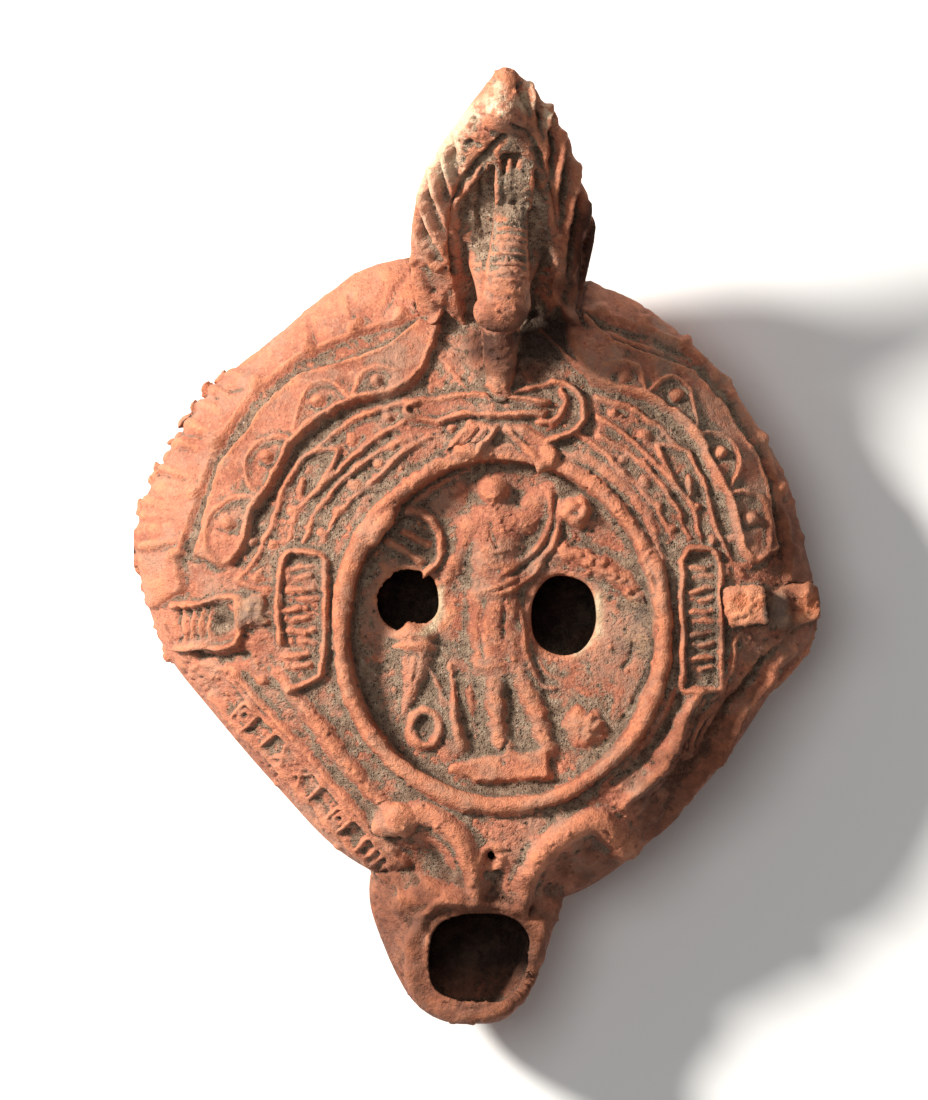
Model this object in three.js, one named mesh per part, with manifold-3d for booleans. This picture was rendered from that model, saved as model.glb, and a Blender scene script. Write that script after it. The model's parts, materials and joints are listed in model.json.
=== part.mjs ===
// A large mould-made terracotta oil lamp: one hollow piece of fired clay with a sunken relief disc,
// a volute nozzle, two side lugs and a leaf-shaped handle ornament that leans back over the rear.
// Millimetres, +Z up, +Y towards the handle, origin at the centre of the flat foot.

import * as THREE from 'three';
import { mergeVertices } from 'three/addons/utils/BufferGeometryUtils.js';
import Module from 'manifold-3d';

const wasm = await Module();
wasm.setup();
const { Manifold, Mesh } = wasm;

// Driving dimensions
const LAMP_LENGTH = 200;          // nozzle lip to leaf tip, seen from above
const WALL = 4.5;                 // clay wall
const FOOT_HALF_WIDTH = 27;       // flat foot, an oval under the disc
const FOOT_HALF_LENGTH = 31;
const FOOT_STEP = 2.2;            // the foot stands this far below the underside
const RIM_HEIGHT = 16;            // widest level of the body
const SHOULDER_HEIGHT = 39;       // crown of the shoulder beside the disc
const DISC_DEPTH = 4.2;           // floor of the disc below the crown
const RING_RADIUS = 2.1;          // round moulding that frames the disc
const NOZZLE_TOP = 34.5;          // flat top of the nozzle at the wick hole
const NOZZLE_KEEL = 7;            // underside of the nozzle
const WICK_WIDTH = 21;
const WICK_LENGTH = 18;
const LEFT_FILL_HOLE = 12.6;      // the two filling holes, broken through by hand
const RIGHT_FILL_HOLE_WIDTH = 13.6;
const RIGHT_FILL_HOLE_LENGTH = 16;
const AIR_HOLE = 2.6;
const HANDLE_TOP = 84;            // height of the leaf's tip
const LEAF_THICKNESS = 14;
const LEAF_RECESS = 4.5;          // depth of the hollow behind the beast's head
const RELIEF = 1.5;               // how far figures and lines stand proud
const LINE = 0.8;                 // radius of a raised line

// The plan was drawn for a lamp of this length, and keeps its proportions at any other
const DRAWN_LENGTH = 200;
const PLAN = LAMP_LENGTH / DRAWN_LENGTH;
const DISC_HALF_WIDTH = 31.9 * PLAN;   // sunken floor, inside its round moulding
const DISC_HALF_LENGTH = 36.3 * PLAN;
const BODY_OUTLINE = [
  [65, 0], [62.5, 19], [56, 37], [44, 54.5], [26, 69], [0, 77], [-27, 75.5], [-48, 60], [-63, 44],
  [-71, 29], [-73, 14], [-71, 0], [-62.5, -14.5], [-47, -32.5], [-31, -48], [-8, -57], [12, -56],
  [28, -46.5], [45, -29], [58, -10],
].map(scaled);
const LEAF_ROOT = 64 * PLAN;
const LEAF_TIP = 117 * PLAN;

const AROUND = 44;                // facets round the body
const AROUND_CHAMBER = 26;
const TAU = 2 * Math.PI;

function scaled([x, y]) {
  return [x * PLAN, y * PLAN];
}

// Closed solids

function solid(geometry) {
  geometry.deleteAttribute('normal');
  geometry.deleteAttribute('uv');
  const merged = mergeVertices(geometry, 1e-4);
  const vertProperties = Float32Array.from(merged.attributes.position.array);
  return new Manifold(new Mesh({ numProp: 3, vertProperties, triVerts: Uint32Array.from(merged.index.array) }));
}

// Skin over a stack of rings with equal counts; the ends close on their middle point, or on each other
function skin(rings, closed = false) {
  const count = rings[0].length;
  const points = rings.flat();
  const faces = [];
  const last = closed ? rings.length : rings.length - 1;
  for (let row = 0; row < last; row++) {
    for (let i = 0; i < count; i++) {
      const a = row * count + i;
      const b = row * count + (i + 1) % count;
      const c = ((row + 1) % rings.length) * count + i;
      const d = ((row + 1) % rings.length) * count + (i + 1) % count;
      faces.push(a, b, d, a, d, c);
    }
  }
  if (!closed) {
    for (const [row, turn] of [[0, true], [rings.length - 1, false]]) {
      const middle = points.length;
      points.push(middleOf(rings[row]));
      for (let i = 0; i < count; i++) {
        const a = row * count + i;
        const b = row * count + (i + 1) % count;
        faces.push(...(turn ? [b, a, middle] : [a, b, middle]));
      }
    }
  }
  return solidFromFaces(points, faces);
}

function middleOf(ring) {
  const sum = new THREE.Vector3();
  ring.forEach((point) => sum.add(point));
  return sum.divideScalar(ring.length);
}

function solidFromFaces(points, faces) {
  let volume = 0;
  for (let i = 0; i < faces.length; i += 3) {
    const [a, b, c] = [points[faces[i]], points[faces[i + 1]], points[faces[i + 2]]];
    volume += a.dot(b.clone().cross(c));
  }
  const ordered = volume > 0 ? faces : faces.slice().reverse();
  const geometry = new THREE.BufferGeometry();
  geometry.setAttribute('position', new THREE.Float32BufferAttribute(points.flatMap((p) => [p.x, p.y, p.z]), 3));
  geometry.setIndex(ordered);
  return solid(geometry);
}

function union(parts) {
  return parts.reduce((whole, part) => whole.add(part));
}

// Outline of the body as a radius for each direction

const outlineCurve = new THREE.CatmullRomCurve3(
  BODY_OUTLINE.map(([x, y]) => new THREE.Vector3(x, y, 0)), true, 'centripetal');
const outlinePolar = outlineCurve.getPoints(360).slice(0, 360)
  .map((p) => [(Math.atan2(p.y, p.x) + TAU) % TAU, Math.hypot(p.x, p.y)])
  .sort((a, b) => a[0] - b[0]);

function bodyRadius(angle) {
  const turn = (angle + 2 * TAU) % TAU;
  const next = outlinePolar.findIndex(([at]) => at > turn);
  const [high, low] = next > 0
    ? [outlinePolar[next], outlinePolar[next - 1]]
    : [outlinePolar[0], outlinePolar[outlinePolar.length - 1]];
  const gap = (high[0] - low[0] + TAU) % TAU || 1;
  const share = ((turn - low[0] + TAU) % TAU) / gap;
  return low[1] + (high[1] - low[1]) * share;
}

function ovalRadius(angle, halfWidth, halfLength) {
  return 1 / Math.hypot(Math.cos(angle) / halfWidth, Math.sin(angle) / halfLength);
}

function discRadius(angle) {
  return ovalRadius(angle, DISC_HALF_WIDTH, DISC_HALF_LENGTH);
}

function mouldingRadius(angle) {
  return discRadius(angle) + 2 * RING_RADIUS;
}

// Heights of the bare clay

const DOME_POWER = 2.3;

function domeCurve(share) {
  const fall = (1 - Math.min(1, share) ** DOME_POWER) ** (1 / DOME_POWER);
  return RIM_HEIGHT + (SHOULDER_HEIGHT - RIM_HEIGHT) * fall;
}

// The dome is straight between its levels, so what stands on it is set by the same straight runs
const DOME_LEVELS = [1, 0.95, 0.82, 0.6, 0.3, 0];

function domeHeight(share) {
  const level = Math.min(DOME_LEVELS.length - 1, Math.max(1, DOME_LEVELS.findIndex((at) => at <= share)));
  const [high, low] = [DOME_LEVELS[level - 1], DOME_LEVELS[level]];
  const along = (Math.min(1, share) - low) / (high - low);
  return domeCurve(low) + (domeCurve(high) - domeCurve(low)) * along;
}

function discHeight(share) {
  return SHOULDER_HEIGHT - DISC_DEPTH - 0.8 * (1 - share * share);
}

function underHeight(share) {
  const bowl = 0.5 * share + 0.5 * (1 - Math.sqrt(Math.max(0, 1 - share * share)));
  return FOOT_STEP + (RIM_HEIGHT - FOOT_STEP) * bowl;
}

function groundHeight(x, y) {
  const angle = Math.atan2(y, x);
  const radius = Math.hypot(x, y);
  const disc = discRadius(angle);
  if (radius < disc) return discHeight(radius / disc);
  const edge = mouldingRadius(angle);
  if (radius < edge) return SHOULDER_HEIGHT;
  return domeHeight((radius - edge) / (bodyRadius(angle) - edge));
}

function topHeight(x, y) {
  const nozzle = nozzleAt(y);
  const onNozzle = y < -38 * PLAN && Math.abs(x - nozzle.middle) < nozzle.half * 0.72;
  return onNozzle ? Math.max(nozzle.top - 0.4, groundHeight(x, y)) : groundHeight(x, y);
}

// Body shell

function ringAt(radiusAt, heightAt, count = AROUND) {
  return Array.from({ length: count }, (_, i) => {
    const angle = (TAU * i) / count;
    const radius = radiusAt(angle);
    return new THREE.Vector3(radius * Math.cos(angle), radius * Math.sin(angle), heightAt(angle, radius));
  });
}

function bodyShell() {
  const foot = (angle, wider = 0) => ovalRadius(angle, FOOT_HALF_WIDTH + wider, FOOT_HALF_LENGTH + wider);
  const under = (share) => ringAt(
    (angle) => foot(angle, 1) + share * (bodyRadius(angle) - foot(angle, 1)), () => underHeight(share));
  const over = (share) => ringAt(
    (angle) => mouldingRadius(angle) + share * (bodyRadius(angle) - mouldingRadius(angle)), () => domeHeight(share));
  const moulding = [0.1, 0.9, 1.75, 2.3].map((turn) => ringAt(
    (angle) => discRadius(angle) + RING_RADIUS * (1 + Math.cos(turn)),
    () => SHOULDER_HEIGHT + 0.4 + RING_RADIUS * Math.sin(turn)));
  return skin([
    ringAt((angle) => foot(angle), () => 0),
    ringAt((angle) => foot(angle, 1), () => FOOT_STEP),
    ...[0.5, 0.85].map(under),
    ...DOME_LEVELS.map(over),
    ...moulding,
    ringAt((angle) => 0.985 * discRadius(angle), () => discHeight(0.985)),
  ]);
}

function bodyChamber() {
  const inner = (angle) => bodyRadius(angle) - 1.25 * WALL;
  const foot = (angle) => ovalRadius(angle, FOOT_HALF_WIDTH, FOOT_HALF_LENGTH);
  const lower = (share) => ringAt((angle) => share * inner(angle), (angle, radius) => {
    const out = (radius - foot(angle)) / (bodyRadius(angle) - foot(angle));
    return (out > 0 ? underHeight(out) : FOOT_STEP) + WALL;
  }, AROUND_CHAMBER);
  const upper = (share) => ringAt((angle) => share * inner(angle), (angle, radius) =>
    groundHeight(radius * Math.cos(angle), radius * Math.sin(angle)) - WALL, AROUND_CHAMBER);
  const middle = ringAt(inner, () => RIM_HEIGHT, AROUND_CHAMBER);
  return skin([...[0.5, 0.85].map(lower), middle, ...[0.92, 0.76, 0.5].map(upper)]);
}

// Nozzle

const NOZZLE_SECTIONS = [
  { y: -36, middle: -1, half: 19, top: 36.5, keel: 6 },
  { y: -47, middle: -4.5, half: 20.5, top: 36, keel: 6 },
  { y: -56, middle: -7.4, half: 19.2, top: 35, keel: 6.5 },
  { y: -66, middle: -7.2, half: 16.7, top: NOZZLE_TOP, keel: NOZZLE_KEEL },
  { y: -75, middle: -6.8, half: 12.7, top: NOZZLE_TOP - 0.6, keel: NOZZLE_KEEL + 2.5 },
  { y: -79.6, middle: -6.4, half: 9.2, top: NOZZLE_TOP - 2.2, keel: NOZZLE_KEEL + 5 },
  { y: -82.2, middle: -5.8, half: 5.4, top: NOZZLE_TOP - 6, keel: NOZZLE_KEEL + 9.5 },
].map((s) => ({ ...s, y: s.y * PLAN, middle: s.middle * PLAN, half: s.half * PLAN }));

function nozzleAt(y) {
  const next = Math.max(1, NOZZLE_SECTIONS.findIndex((s) => s.y <= y));
  const [a, b] = [NOZZLE_SECTIONS[next - 1], NOZZLE_SECTIONS[next]];
  const share = Math.min(1, Math.max(0, (a.y - y) / (a.y - b.y)));
  const mix = (key) => a[key] + (b[key] - a[key]) * share;
  return { middle: mix('middle'), half: mix('half'), top: mix('top'), keel: mix('keel') };
}

function nozzleRing(section, inset, count) {
  const depth = (section.top - section.keel) / 2 - inset;
  const level = (section.top + section.keel) / 2;
  return Array.from({ length: count }, (_, i) => {
    const angle = (TAU * i) / count;
    const side = Math.sign(Math.cos(angle)) * Math.abs(Math.cos(angle)) ** 0.8;
    const rise = Math.sign(Math.sin(angle)) * Math.abs(Math.sin(angle)) ** 0.8;
    const narrow = 1 - 0.16 * Math.max(0, rise);
    const lean = 1.6 * PLAN * rise;
    const half = Math.max(1, section.half - inset) * narrow;
    return new THREE.Vector3(section.middle + lean + half * side, section.y, level + depth * rise);
  });
}

function nozzleShell() {
  return skin(NOZZLE_SECTIONS.map((section) => nozzleRing(section, 0, 16)));
}

function nozzleChamber() {
  const inner = NOZZLE_SECTIONS.slice(0, 6).map((section, i) => (
    i < 5 ? section : { ...section, y: section.y + WALL * 0.55, half: section.half + 0.6 }));
  return skin(inner.map((section) => nozzleRing(section, WALL, 10)));
}

// Holes through the top

const WICK_CENTRE = scaled([-4.9, -68.2]);
const LEFT_FILL_CENTRE = scaled([-19.5, 6]);
const RIGHT_FILL_CENTRE = scaled([12.7, 2.6]);
const AIR_CENTRE = scaled([-2.1, -46.6]);

function roundedRing(width, length, power, count) {
  return Array.from({ length: count }, (_, i) => {
    const angle = (TAU * (i + 0.5)) / count;
    const x = Math.sign(Math.cos(angle)) * Math.abs(Math.cos(angle)) ** power;
    const y = Math.sign(Math.sin(angle)) * Math.abs(Math.sin(angle)) ** power;
    return [(x * width) / 2, (y * length) / 2];
  });
}

function shaft([x, y], width, length, low, high, power = 1, count = 16) {
  const ring = roundedRing(width, length, power, count);
  return skin([low, high].map((z) => ring.map(([dx, dy]) => new THREE.Vector3(x + dx, y + dy, z))));
}

function openings() {
  const above = SHOULDER_HEIGHT + 12;
  const inside = SHOULDER_HEIGHT / 2;
  return [
    shaft(WICK_CENTRE, WICK_WIDTH, WICK_LENGTH, inside, above, 0.7, 16),
    shaft(LEFT_FILL_CENTRE, LEFT_FILL_HOLE, LEFT_FILL_HOLE * 0.98, inside, above, 0.95, 10),
    shaft(RIGHT_FILL_CENTRE, RIGHT_FILL_HOLE_WIDTH, RIGHT_FILL_HOLE_LENGTH, inside, above, 0.95, 10),
    shaft(AIR_CENTRE, AIR_HOLE, AIR_HOLE, inside, above, 1, 6),
  ];
}

// Raised lines, beads and bars that follow the clay

function onTop([x, y], lift) {
  return new THREE.Vector3(x, y, topHeight(x, y) + lift);
}

// Open line: round section swept along a smooth curve through the places
function line(places, radius = LINE, lift = RELIEF - LINE, steps = 0, sides = 3) {
  const points = places.map((place) => onTop(scaled(place), lift));
  const curve = new THREE.CatmullRomCurve3(points, false, 'centripetal');
  const section = new THREE.Shape(roundedRing(2 * radius, 2 * radius, 1, sides)
    .map(([x, y]) => new THREE.Vector2(x, y)));
  const run = steps || places.length - 1;
  return solid(new THREE.ExtrudeGeometry(section, { steps: run, bevelEnabled: false, extrudePath: curve }));
}

// Closed line: rings of a round section round a closed run of places
function loop(places, radius, lift, sides = 4) {
  const points = places.map((place) => onTop(scaled(place), lift));
  return hoop(points, radius, sides);
}

function hoop(points, radius, sides) {
  const rings = points.map((point, i) => {
    const before = points[(i + points.length - 1) % points.length];
    const after = points[(i + 1) % points.length];
    const along = after.clone().sub(before).normalize();
    const across = along.clone().cross(new THREE.Vector3(0, 0, 1)).normalize();
    const up = across.clone().cross(along).normalize();
    return Array.from({ length: sides }, (_, k) => {
      const angle = (TAU * (k + 0.5)) / sides;
      return point.clone().addScaledVector(across, radius * Math.cos(angle)).addScaledVector(up, radius * Math.sin(angle));
    });
  });
  return skin(rings, true);
}

// Rounded body that tapers along a chain of points: a limb, a muzzle, a neck
function limb(points, radii, sides = 6, flatness = 1) {
  const rings = points.map((point, i) => {
    const before = points[Math.max(0, i - 1)];
    const after = points[Math.min(points.length - 1, i + 1)];
    const along = after.clone().sub(before).normalize();
    const across = along.clone().cross(new THREE.Vector3(0, 0, 1)).normalize();
    const up = across.clone().cross(along).normalize();
    return Array.from({ length: sides }, (_, k) => {
      const angle = (TAU * (k + 0.5)) / sides;
      return point.clone().addScaledVector(across, radii[i] * Math.cos(angle))
        .addScaledVector(up, radii[i] * flatness * Math.sin(angle));
    });
  });
  return skin(rings);
}

function reliefLimb(places, radii, lift = 0, flatness = 0.75) {
  return limb(places.map((place) => onTop(scaled(place), lift)), radii.map((r) => r * PLAN), 6, flatness);
}

function bead([x, y], halfWidth, halfLength, halfHeight, lift = 0, turn = 0, detail = [6, 3]) {
  const geometry = new THREE.SphereGeometry(1, ...detail);
  geometry.rotateX(Math.PI / 2);
  geometry.scale(halfWidth * PLAN, halfLength * PLAN, halfHeight);
  geometry.rotateZ(turn);
  const at = onTop(scaled([x, y]), lift);
  return solid(geometry.translate(at.x, at.y, at.z));
}

function block([x, y], width, length, height, turn = 0, lift = 0) {
  const geometry = new THREE.BoxGeometry(width * PLAN, length * PLAN, height + 4);
  geometry.translate(0, 0, height - (height + 4) / 2);
  geometry.rotateZ(turn);
  const at = onTop(scaled([x, y]), lift);
  return solid(geometry.translate(at.x, at.y, at.z));
}

function ovalPlaces([x, y], halfWidth, halfLength, count) {
  return Array.from({ length: count }, (_, i) => {
    const angle = (TAU * i) / count;
    return [x + halfWidth * Math.cos(angle), y + halfLength * Math.sin(angle)];
  });
}

// Figures of the disc

function standingFigure() {
  const torso = [[1.5, 22.5], [0.5, 17], [0.4, 12], [1.2, 8.2], [0.6, 5.5]];
  const thighs = [[-3, 6], [-2.5, 0], [-2, -6]];
  const farThigh = [[3, 6], [2, 0], [1, -6]];
  return [
    bead([-1.4, 29], 3.5, 4.3, 3, 0.6, 0, [7, 4]),
    reliefLimb([[-0.6, 25.5], [0.5, 21.5]], [2, 3], 0.4),
    reliefLimb(torso, [5.2, 4.8, 4, 4.4, 5.6], 0.3, 0.5),
    reliefLimb(thighs, [3, 2.9, 2.3], 0.5),
    reliefLimb([...farThigh, [6, -16], [9, -24]], [3, 3, 2.6, 2.1, 1.6], 0.4),
    reliefLimb([[-2, -6], [-1.4, -14], [-0.6, -24]], [2.3, 2, 1.5], 0.5),
    reliefLimb([[-5, 20.5], [-9.2, 16.5], [-15, 15.5]], [1.7, 1.6, 1.3], 0.3),
    reliefLimb([[5, 23], [9.5, 27], [14, 26.4]], [1.8, 1.5, 1.3], 0.3),
    line([[9.6, 27], [6.8, 19], [3.6, 12.6]], 1, 0.5),
    line([[12, 24], [10.4, 16], [7.6, 10.4], [4.4, 8.2]], 1, 0.4),
    line([[-6.2, 8.6], [0.6, 7.4], [8, 9]], 1, 0.6),
    block([-0.6, -28.6], 19.6, 4.2, 1.6),
  ];
}

function discProps() {
  const drum = [-18.5, 19];
  const foliage = [[15, 14.5], [19.4, 12.8], [23.6, 11], [27.6, 7.6]];
  return [
    loop(ovalPlaces(drum, 5.2, 5.2, 12), 0.9, 0.5),
    line([[-22.6, 21.5], [-14.4, 16.8]], 0.7, 0.4),
    line([[-21, 16], [-16, 22.4]], 0.7, 0.3),
    reliefLimb([[-17.7, -1], [-18.4, -8], [-19.6, -16]], [3.6, 2.6, 1.1], 0.2, 0.7),
    line([[-21.3, -0.4], [-14.2, -0.4]], 0.9, 1),
    loop(ovalPlaces([-16.4, -20.6], 2.8, 2.8, 8), 1, 0.5),
    bead([15.8, 25.3], 3.8, 3.4, 2, 0.3, 0.4),
    bead([16.2, -20], 4.7, 4.2, 2.2, 0.3, 0.7),
    ...foliage.map((place, i) => bead(place, 2.1, 1.3, 1.2, 0.2, 0.7 * i)),
  ];
}

// Knotted ribbon on the ring below the handle

function ribbonKnot() {
  return [
    line([[-18.6, 45.6], [-8, 48.2], [6.4, 47.4]], 0.9, 1.6),
    line([[-18, 43.4], [-7.5, 43.9], [8.8, 44.4]], 0.9, 1.6),
    line([[-18.6, 45.6], [-19.6, 44.6], [-18, 43.4]], 0.9, 1.6),
    line([[11.6, 50], [16.6, 46.6], [15.4, 41.8], [9.4, 39.8], [8.6, 44]], 1.1, 1.6, 7),
    line([[-2.6, 48], [3.6, 49.6], [11.6, 51]], 0.9, 1.2),
    block([-6, 39.6], 9.4, 5.6, 3.4, -0.5),
    reliefLimb([[1, 41.2], [5.5, 36.8], [9.8, 33]], [2.2, 2.6, 2.2], 3, 0.6),
  ];
}

// Winged bands of the shoulder, the same on both sides of the neck

const WING_EDGE = [[13, 67], [15.6, 56.5], [19, 51.2], [31.2, 47.6], [41, 41.6], [49.4, 28], [55.6, 14.6]];
const WING_STEP = [[13.4, 66.4], [28.6, 61.6], [40, 57], [49.5, 49], [57, 36.6], [60.5, 24]];
const LOBE_ROW = [[24.6, 53.2], [36.4, 48.6], [46.8, 38], [53.4, 24]];
const PETAL_ROW = [[22.6, 66.6], [32.6, 62.4], [42.4, 57], [51, 48], [57.4, 37.6]];

function mirrored(places, side) {
  return places.map(([x, y]) => [side * x, y]);
}

function lobe([x, y], side) {
  const turn = Math.atan2(y, x);
  const arc = Array.from({ length: 4 }, (_, i) => {
    const angle = turn - 1.75 + (3.5 * i) / 3;
    return [side * (x + 4.6 * Math.cos(angle)), y + 4.6 * Math.sin(angle)];
  });
  return [line(arc, 0.8, 0.4, 3), bead([side * x, y], 1.4, 1.4, 1.3, 0.4, 0, [5, 3])];
}

function petal([x, y], side) {
  return bead([side * x, y], 4.2, 1.7, 1.3, 0.3, Math.atan2(y, side * x), [6, 4]);
}

function wing(side) {
  return [
    line(mirrored(WING_EDGE, side), 1.2, 0.8, 6),
    line(mirrored(WING_STEP, side), 1, 0.6, 5),
    ...LOBE_ROW.flatMap((place) => lobe(place, side)),
    ...PETAL_ROW.map((place) => petal(place, side)),
  ];
}

// Framed panels with rows of short strokes, left and right of the disc

function strokePanel(side) {
  const centre = side < 0 ? [-42.4, 2.6] : [41.6, 2.4];
  const [half, reach] = side < 0 ? [4.4, 14.4] : [4.1, 14.6];
  const frame = roundedRing(2 * half, 2 * reach, 0.45, 8).map(([x, y]) => [centre[0] + x, centre[1] + y]);
  const strokes = Array.from({ length: 5 }, (_, i) => {
    const y = centre[1] - reach + 4 + (i * (2 * reach - 8)) / 4;
    return line([[centre[0] - 2.1, y], [centre[0] + 2.1, y]], 0.6, 0.3, 1);
  });
  return [loop(frame, 0.9, 0.6), ...strokes];
}

// Scalloped fins round the rear left edge, and the few left on the right

function fins() {
  const row = (from, to, count, long) => Array.from({ length: count }, (_, i) => {
    const angle = from + ((to - from) * i) / (count - 1);
    const radius = bodyRadius(angle) / PLAN;
    const tip = radius + long * (0.8 + 0.2 * Math.cos(3 * i));
    const at = (r, z) => new THREE.Vector3(r * PLAN * Math.cos(angle), r * PLAN * Math.sin(angle), z);
    return limb([at(radius - 8, RIM_HEIGHT + 7), at(radius - 2, RIM_HEIGHT + 5), at(tip, RIM_HEIGHT + 0.5)],
      [2, 3.2, 2.1], 4, 0.8);
  });
  return [...row(2.3, 3.17, 8, 3.4), ...row(0.2, 0.6, 3, 0.6)];
}

// Key and lattice panels on the sloping wall beside the nozzle

function sidePanels() {
  const from = [-57.6, -14];
  const to = [-25, -48.6];
  const run = Math.atan2(to[1] - from[1], to[0] - from[0]);
  const long = Math.hypot(to[0] - from[0], to[1] - from[1]);
  const at = (share, out) => [
    from[0] + (to[0] - from[0]) * share + out * Math.sin(run),
    from[1] + (to[1] - from[1]) * share - out * Math.cos(run)];
  const square = (share, half) => {
    const corners = [[-half, -half], [half, -half], [half, half], [-half, half]];
    return loop(corners.map(([u, v]) => at(share + u / long, v)), 0.8, 0.5);
  };
  const keys = [0.12, 0.66].flatMap((share) => [square(share, 2.9), bead(at(share, 0), 1.1, 1.1, 1.4)]);
  const cross = [[-3, -3, 3, 3], [-3, 3, 3, -3]].map(([u0, v0, u1, v1]) =>
    line([at(0.4 + u0 / long, v0), at(0.4 + u1 / long, v1)], 0.8, 0.6, 2));
  const bars = [0.86, 0.94].map((share) => line([at(share, -2.6), at(share, 2.6)], 0.8, 0.5, 1));
  const borders = [-4.6, 4.6].map((out) => line([at(0, out), at(0.5, out), at(1, out)], 0.9, 0.7, 3));
  const right = line([[58, -8], [50, -18.5], [42, -27.5], [31.5, -40.5]], 1.1, 0.8, 4);
  const inner = line([[44, -16], [42, -20.6], [39.8, -23]], 0.9, 0.6, 2);
  return [...keys, ...cross, ...bars, ...borders, right, inner, bead([38.8, -25], 2, 2, 1.6, 0.4)];
}

// Lugs: a ribbed horn on the left, and the stumps of a broken one on the right

function leftLug() {
  const base = RIM_HEIGHT + 9;
  const root = new THREE.Vector3(-54 * PLAN, 2.2 * PLAN, base + 5);
  const tip = new THREE.Vector3(-69.5 * PLAN, 0.4 * PLAN, base + 2);
  const horn = limb([root, root.clone().lerp(tip, 0.4), root.clone().lerp(tip, 0.75), tip],
    [6, 6.4, 5.6, 3.4].map((r) => r * PLAN), 8, 0.8);
  const ribs = [0.52, 0.72, 0.92].map((share) => {
    const at = root.clone().lerp(tip, share);
    return limb([at.clone().setX(at.x - 0.8), at.clone().setX(at.x + 0.8)], [6.8 - 2.4 * share, 6.8 - 2.4 * share], 8, 0.85);
  });
  return [
    horn,
    ...ribs,
    block([-52, 3.8], 6.6, 6.4, 4.5, 0.06),
    line([[-65, -9], [-55, -8.4], [-47.4, -4.6]], 1.6, 1.2, 4),
  ];
}

function rightStumps() {
  const stump = (x, y, width, length, top, deep, lean) => {
    const geometry = new THREE.BoxGeometry(width * PLAN, length * PLAN, deep);
    geometry.rotateZ(lean);
    geometry.translate(x * PLAN, y * PLAN, top - deep / 2);
    return solid(geometry);
  };
  return [
    stump(50.4, 5, 9.2, 7.8, RIM_HEIGHT + 23, 14, 0.05),
    stump(61.4, 4.6, 9, 8, RIM_HEIGHT + 14.5, 14, -0.06),
    line([[63, 1], [61, -5], [56.5, -10.5]], 1.6, 0.8, 3),
  ];
}

// Volutes that frame the nozzle, their knobs, and the collar of the wick hole

function volutes() {
  const collar = roundedRing(WICK_WIDTH + 3, WICK_LENGTH + 3, 0.7, 12)
    .map(([x, y]) => new THREE.Vector3(WICK_CENTRE[0] + x, WICK_CENTRE[1] + y, 0))
    .map((p) => p.setZ(nozzleAt(p.y).top - 0.2));
  const left = [[-24, -39.4], [-19, -38.2], [-14, -40.6], [-8.6, -46], [-6.6, -51.5], [-7.6, -58]];
  const right = [[26, -43.6], [20, -39.4], [11, -42.2], [6.6, -46.5], [4.6, -52], [5, -58]];
  return [
    hoop(collar, 2, 4),
    line(left, 2.3, 0.6, 6, 5),
    line(right, 2.3, 0.6, 6, 5),
    bead([-23.6, -39.2], 3.4, 3.4, 4, 2, 0, [7, 4]),
    bead([26, -43.8], 3.6, 3.4, 4, 2, 0, [7, 4]),
    loop(ovalPlaces([-1, -49.2], 1.9, 1.9, 6), 0.8, 0.5),
  ];
}

// Handle: a leaf that leans back, hollowed in front for a beast's head with a long ribbed muzzle

const LEAF_WIDTHS = [[0, 14], [0.34, 18.4], [0.5, 17.4], [0.62, 15.2], [0.76, 10.8], [0.9, 5.8], [1, 1.8]];
const LEAF_ROWS = 18;
const FLUTE_DEPTH = 1.1;
const HOLLOW_WIDTHS = [
  { share: 0.08, half: 8.6 }, { share: 0.28, half: 10.6 }, { share: 0.45, half: 10 }, { share: 0.62, half: 5.6 },
  { share: 0.73, half: 1.2 },
];
const LEAF_FOOT = new THREE.Vector3(0, LEAF_ROOT, SHOULDER_HEIGHT - 9);
const LEAF_END = new THREE.Vector3(0.6 * PLAN, LEAF_TIP - 2 * PLAN, HANDLE_TOP - 2);
const LEAF_FORWARD = new THREE.Vector3(1, 0, 0).cross(LEAF_END.clone().sub(LEAF_FOOT)).normalize();

function leafSpine(share) {
  return LEAF_FOOT.clone().lerp(LEAF_END, share);
}

// Forward is out of the leaf's face, towards the disc
function leafPoint(share, x, forward) {
  return leafSpine(share).add(new THREE.Vector3(x, 0, 0)).addScaledVector(LEAF_FORWARD, forward);
}

function leafStack(rows, front, back, lift) {
  return skin(rows.map(({ share, half }) => Array.from({ length: 12 }, (_, i) => {
    const angle = (TAU * i) / 12;
    const thin = 1 - 0.55 * share ** 3;
    const depth = Math.sin(angle) * (Math.sin(angle) > 0 ? front : back) * thin;
    return leafPoint(share, half * PLAN * Math.cos(angle), depth + lift);
  })));
}

function widthAt(share) {
  const next = Math.max(1, LEAF_WIDTHS.findIndex(([at]) => at >= share));
  const [a, b] = [LEAF_WIDTHS[next - 1], LEAF_WIDTHS[next]];
  return a[1] + ((b[1] - a[1]) * (share - a[0])) / (b[0] - a[0]);
}

// Every second row is drawn in, which leaves a flute between two scallops
function leafRows() {
  return Array.from({ length: LEAF_ROWS + 1 }, (_, i) => {
    const share = i / LEAF_ROWS;
    const scallop = share > 0.2 && share < 0.95 ? FLUTE_DEPTH * (i % 2 ? 0.5 : -0.5) : 0;
    return { share, half: widthAt(share) + scallop };
  });
}

function handleBack() {
  const behind = leafPoint(0.55, 0, -LEAF_THICKNESS * 0.3);
  const root = new THREE.Vector3(0, LEAF_ROOT + 4 * PLAN, SHOULDER_HEIGHT - 14);
  return limb([root, root.clone().lerp(behind, 0.55).add(new THREE.Vector3(0, 3, 0)), behind],
    [11, 8.5, 6], 8, 0.8);
}

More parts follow.
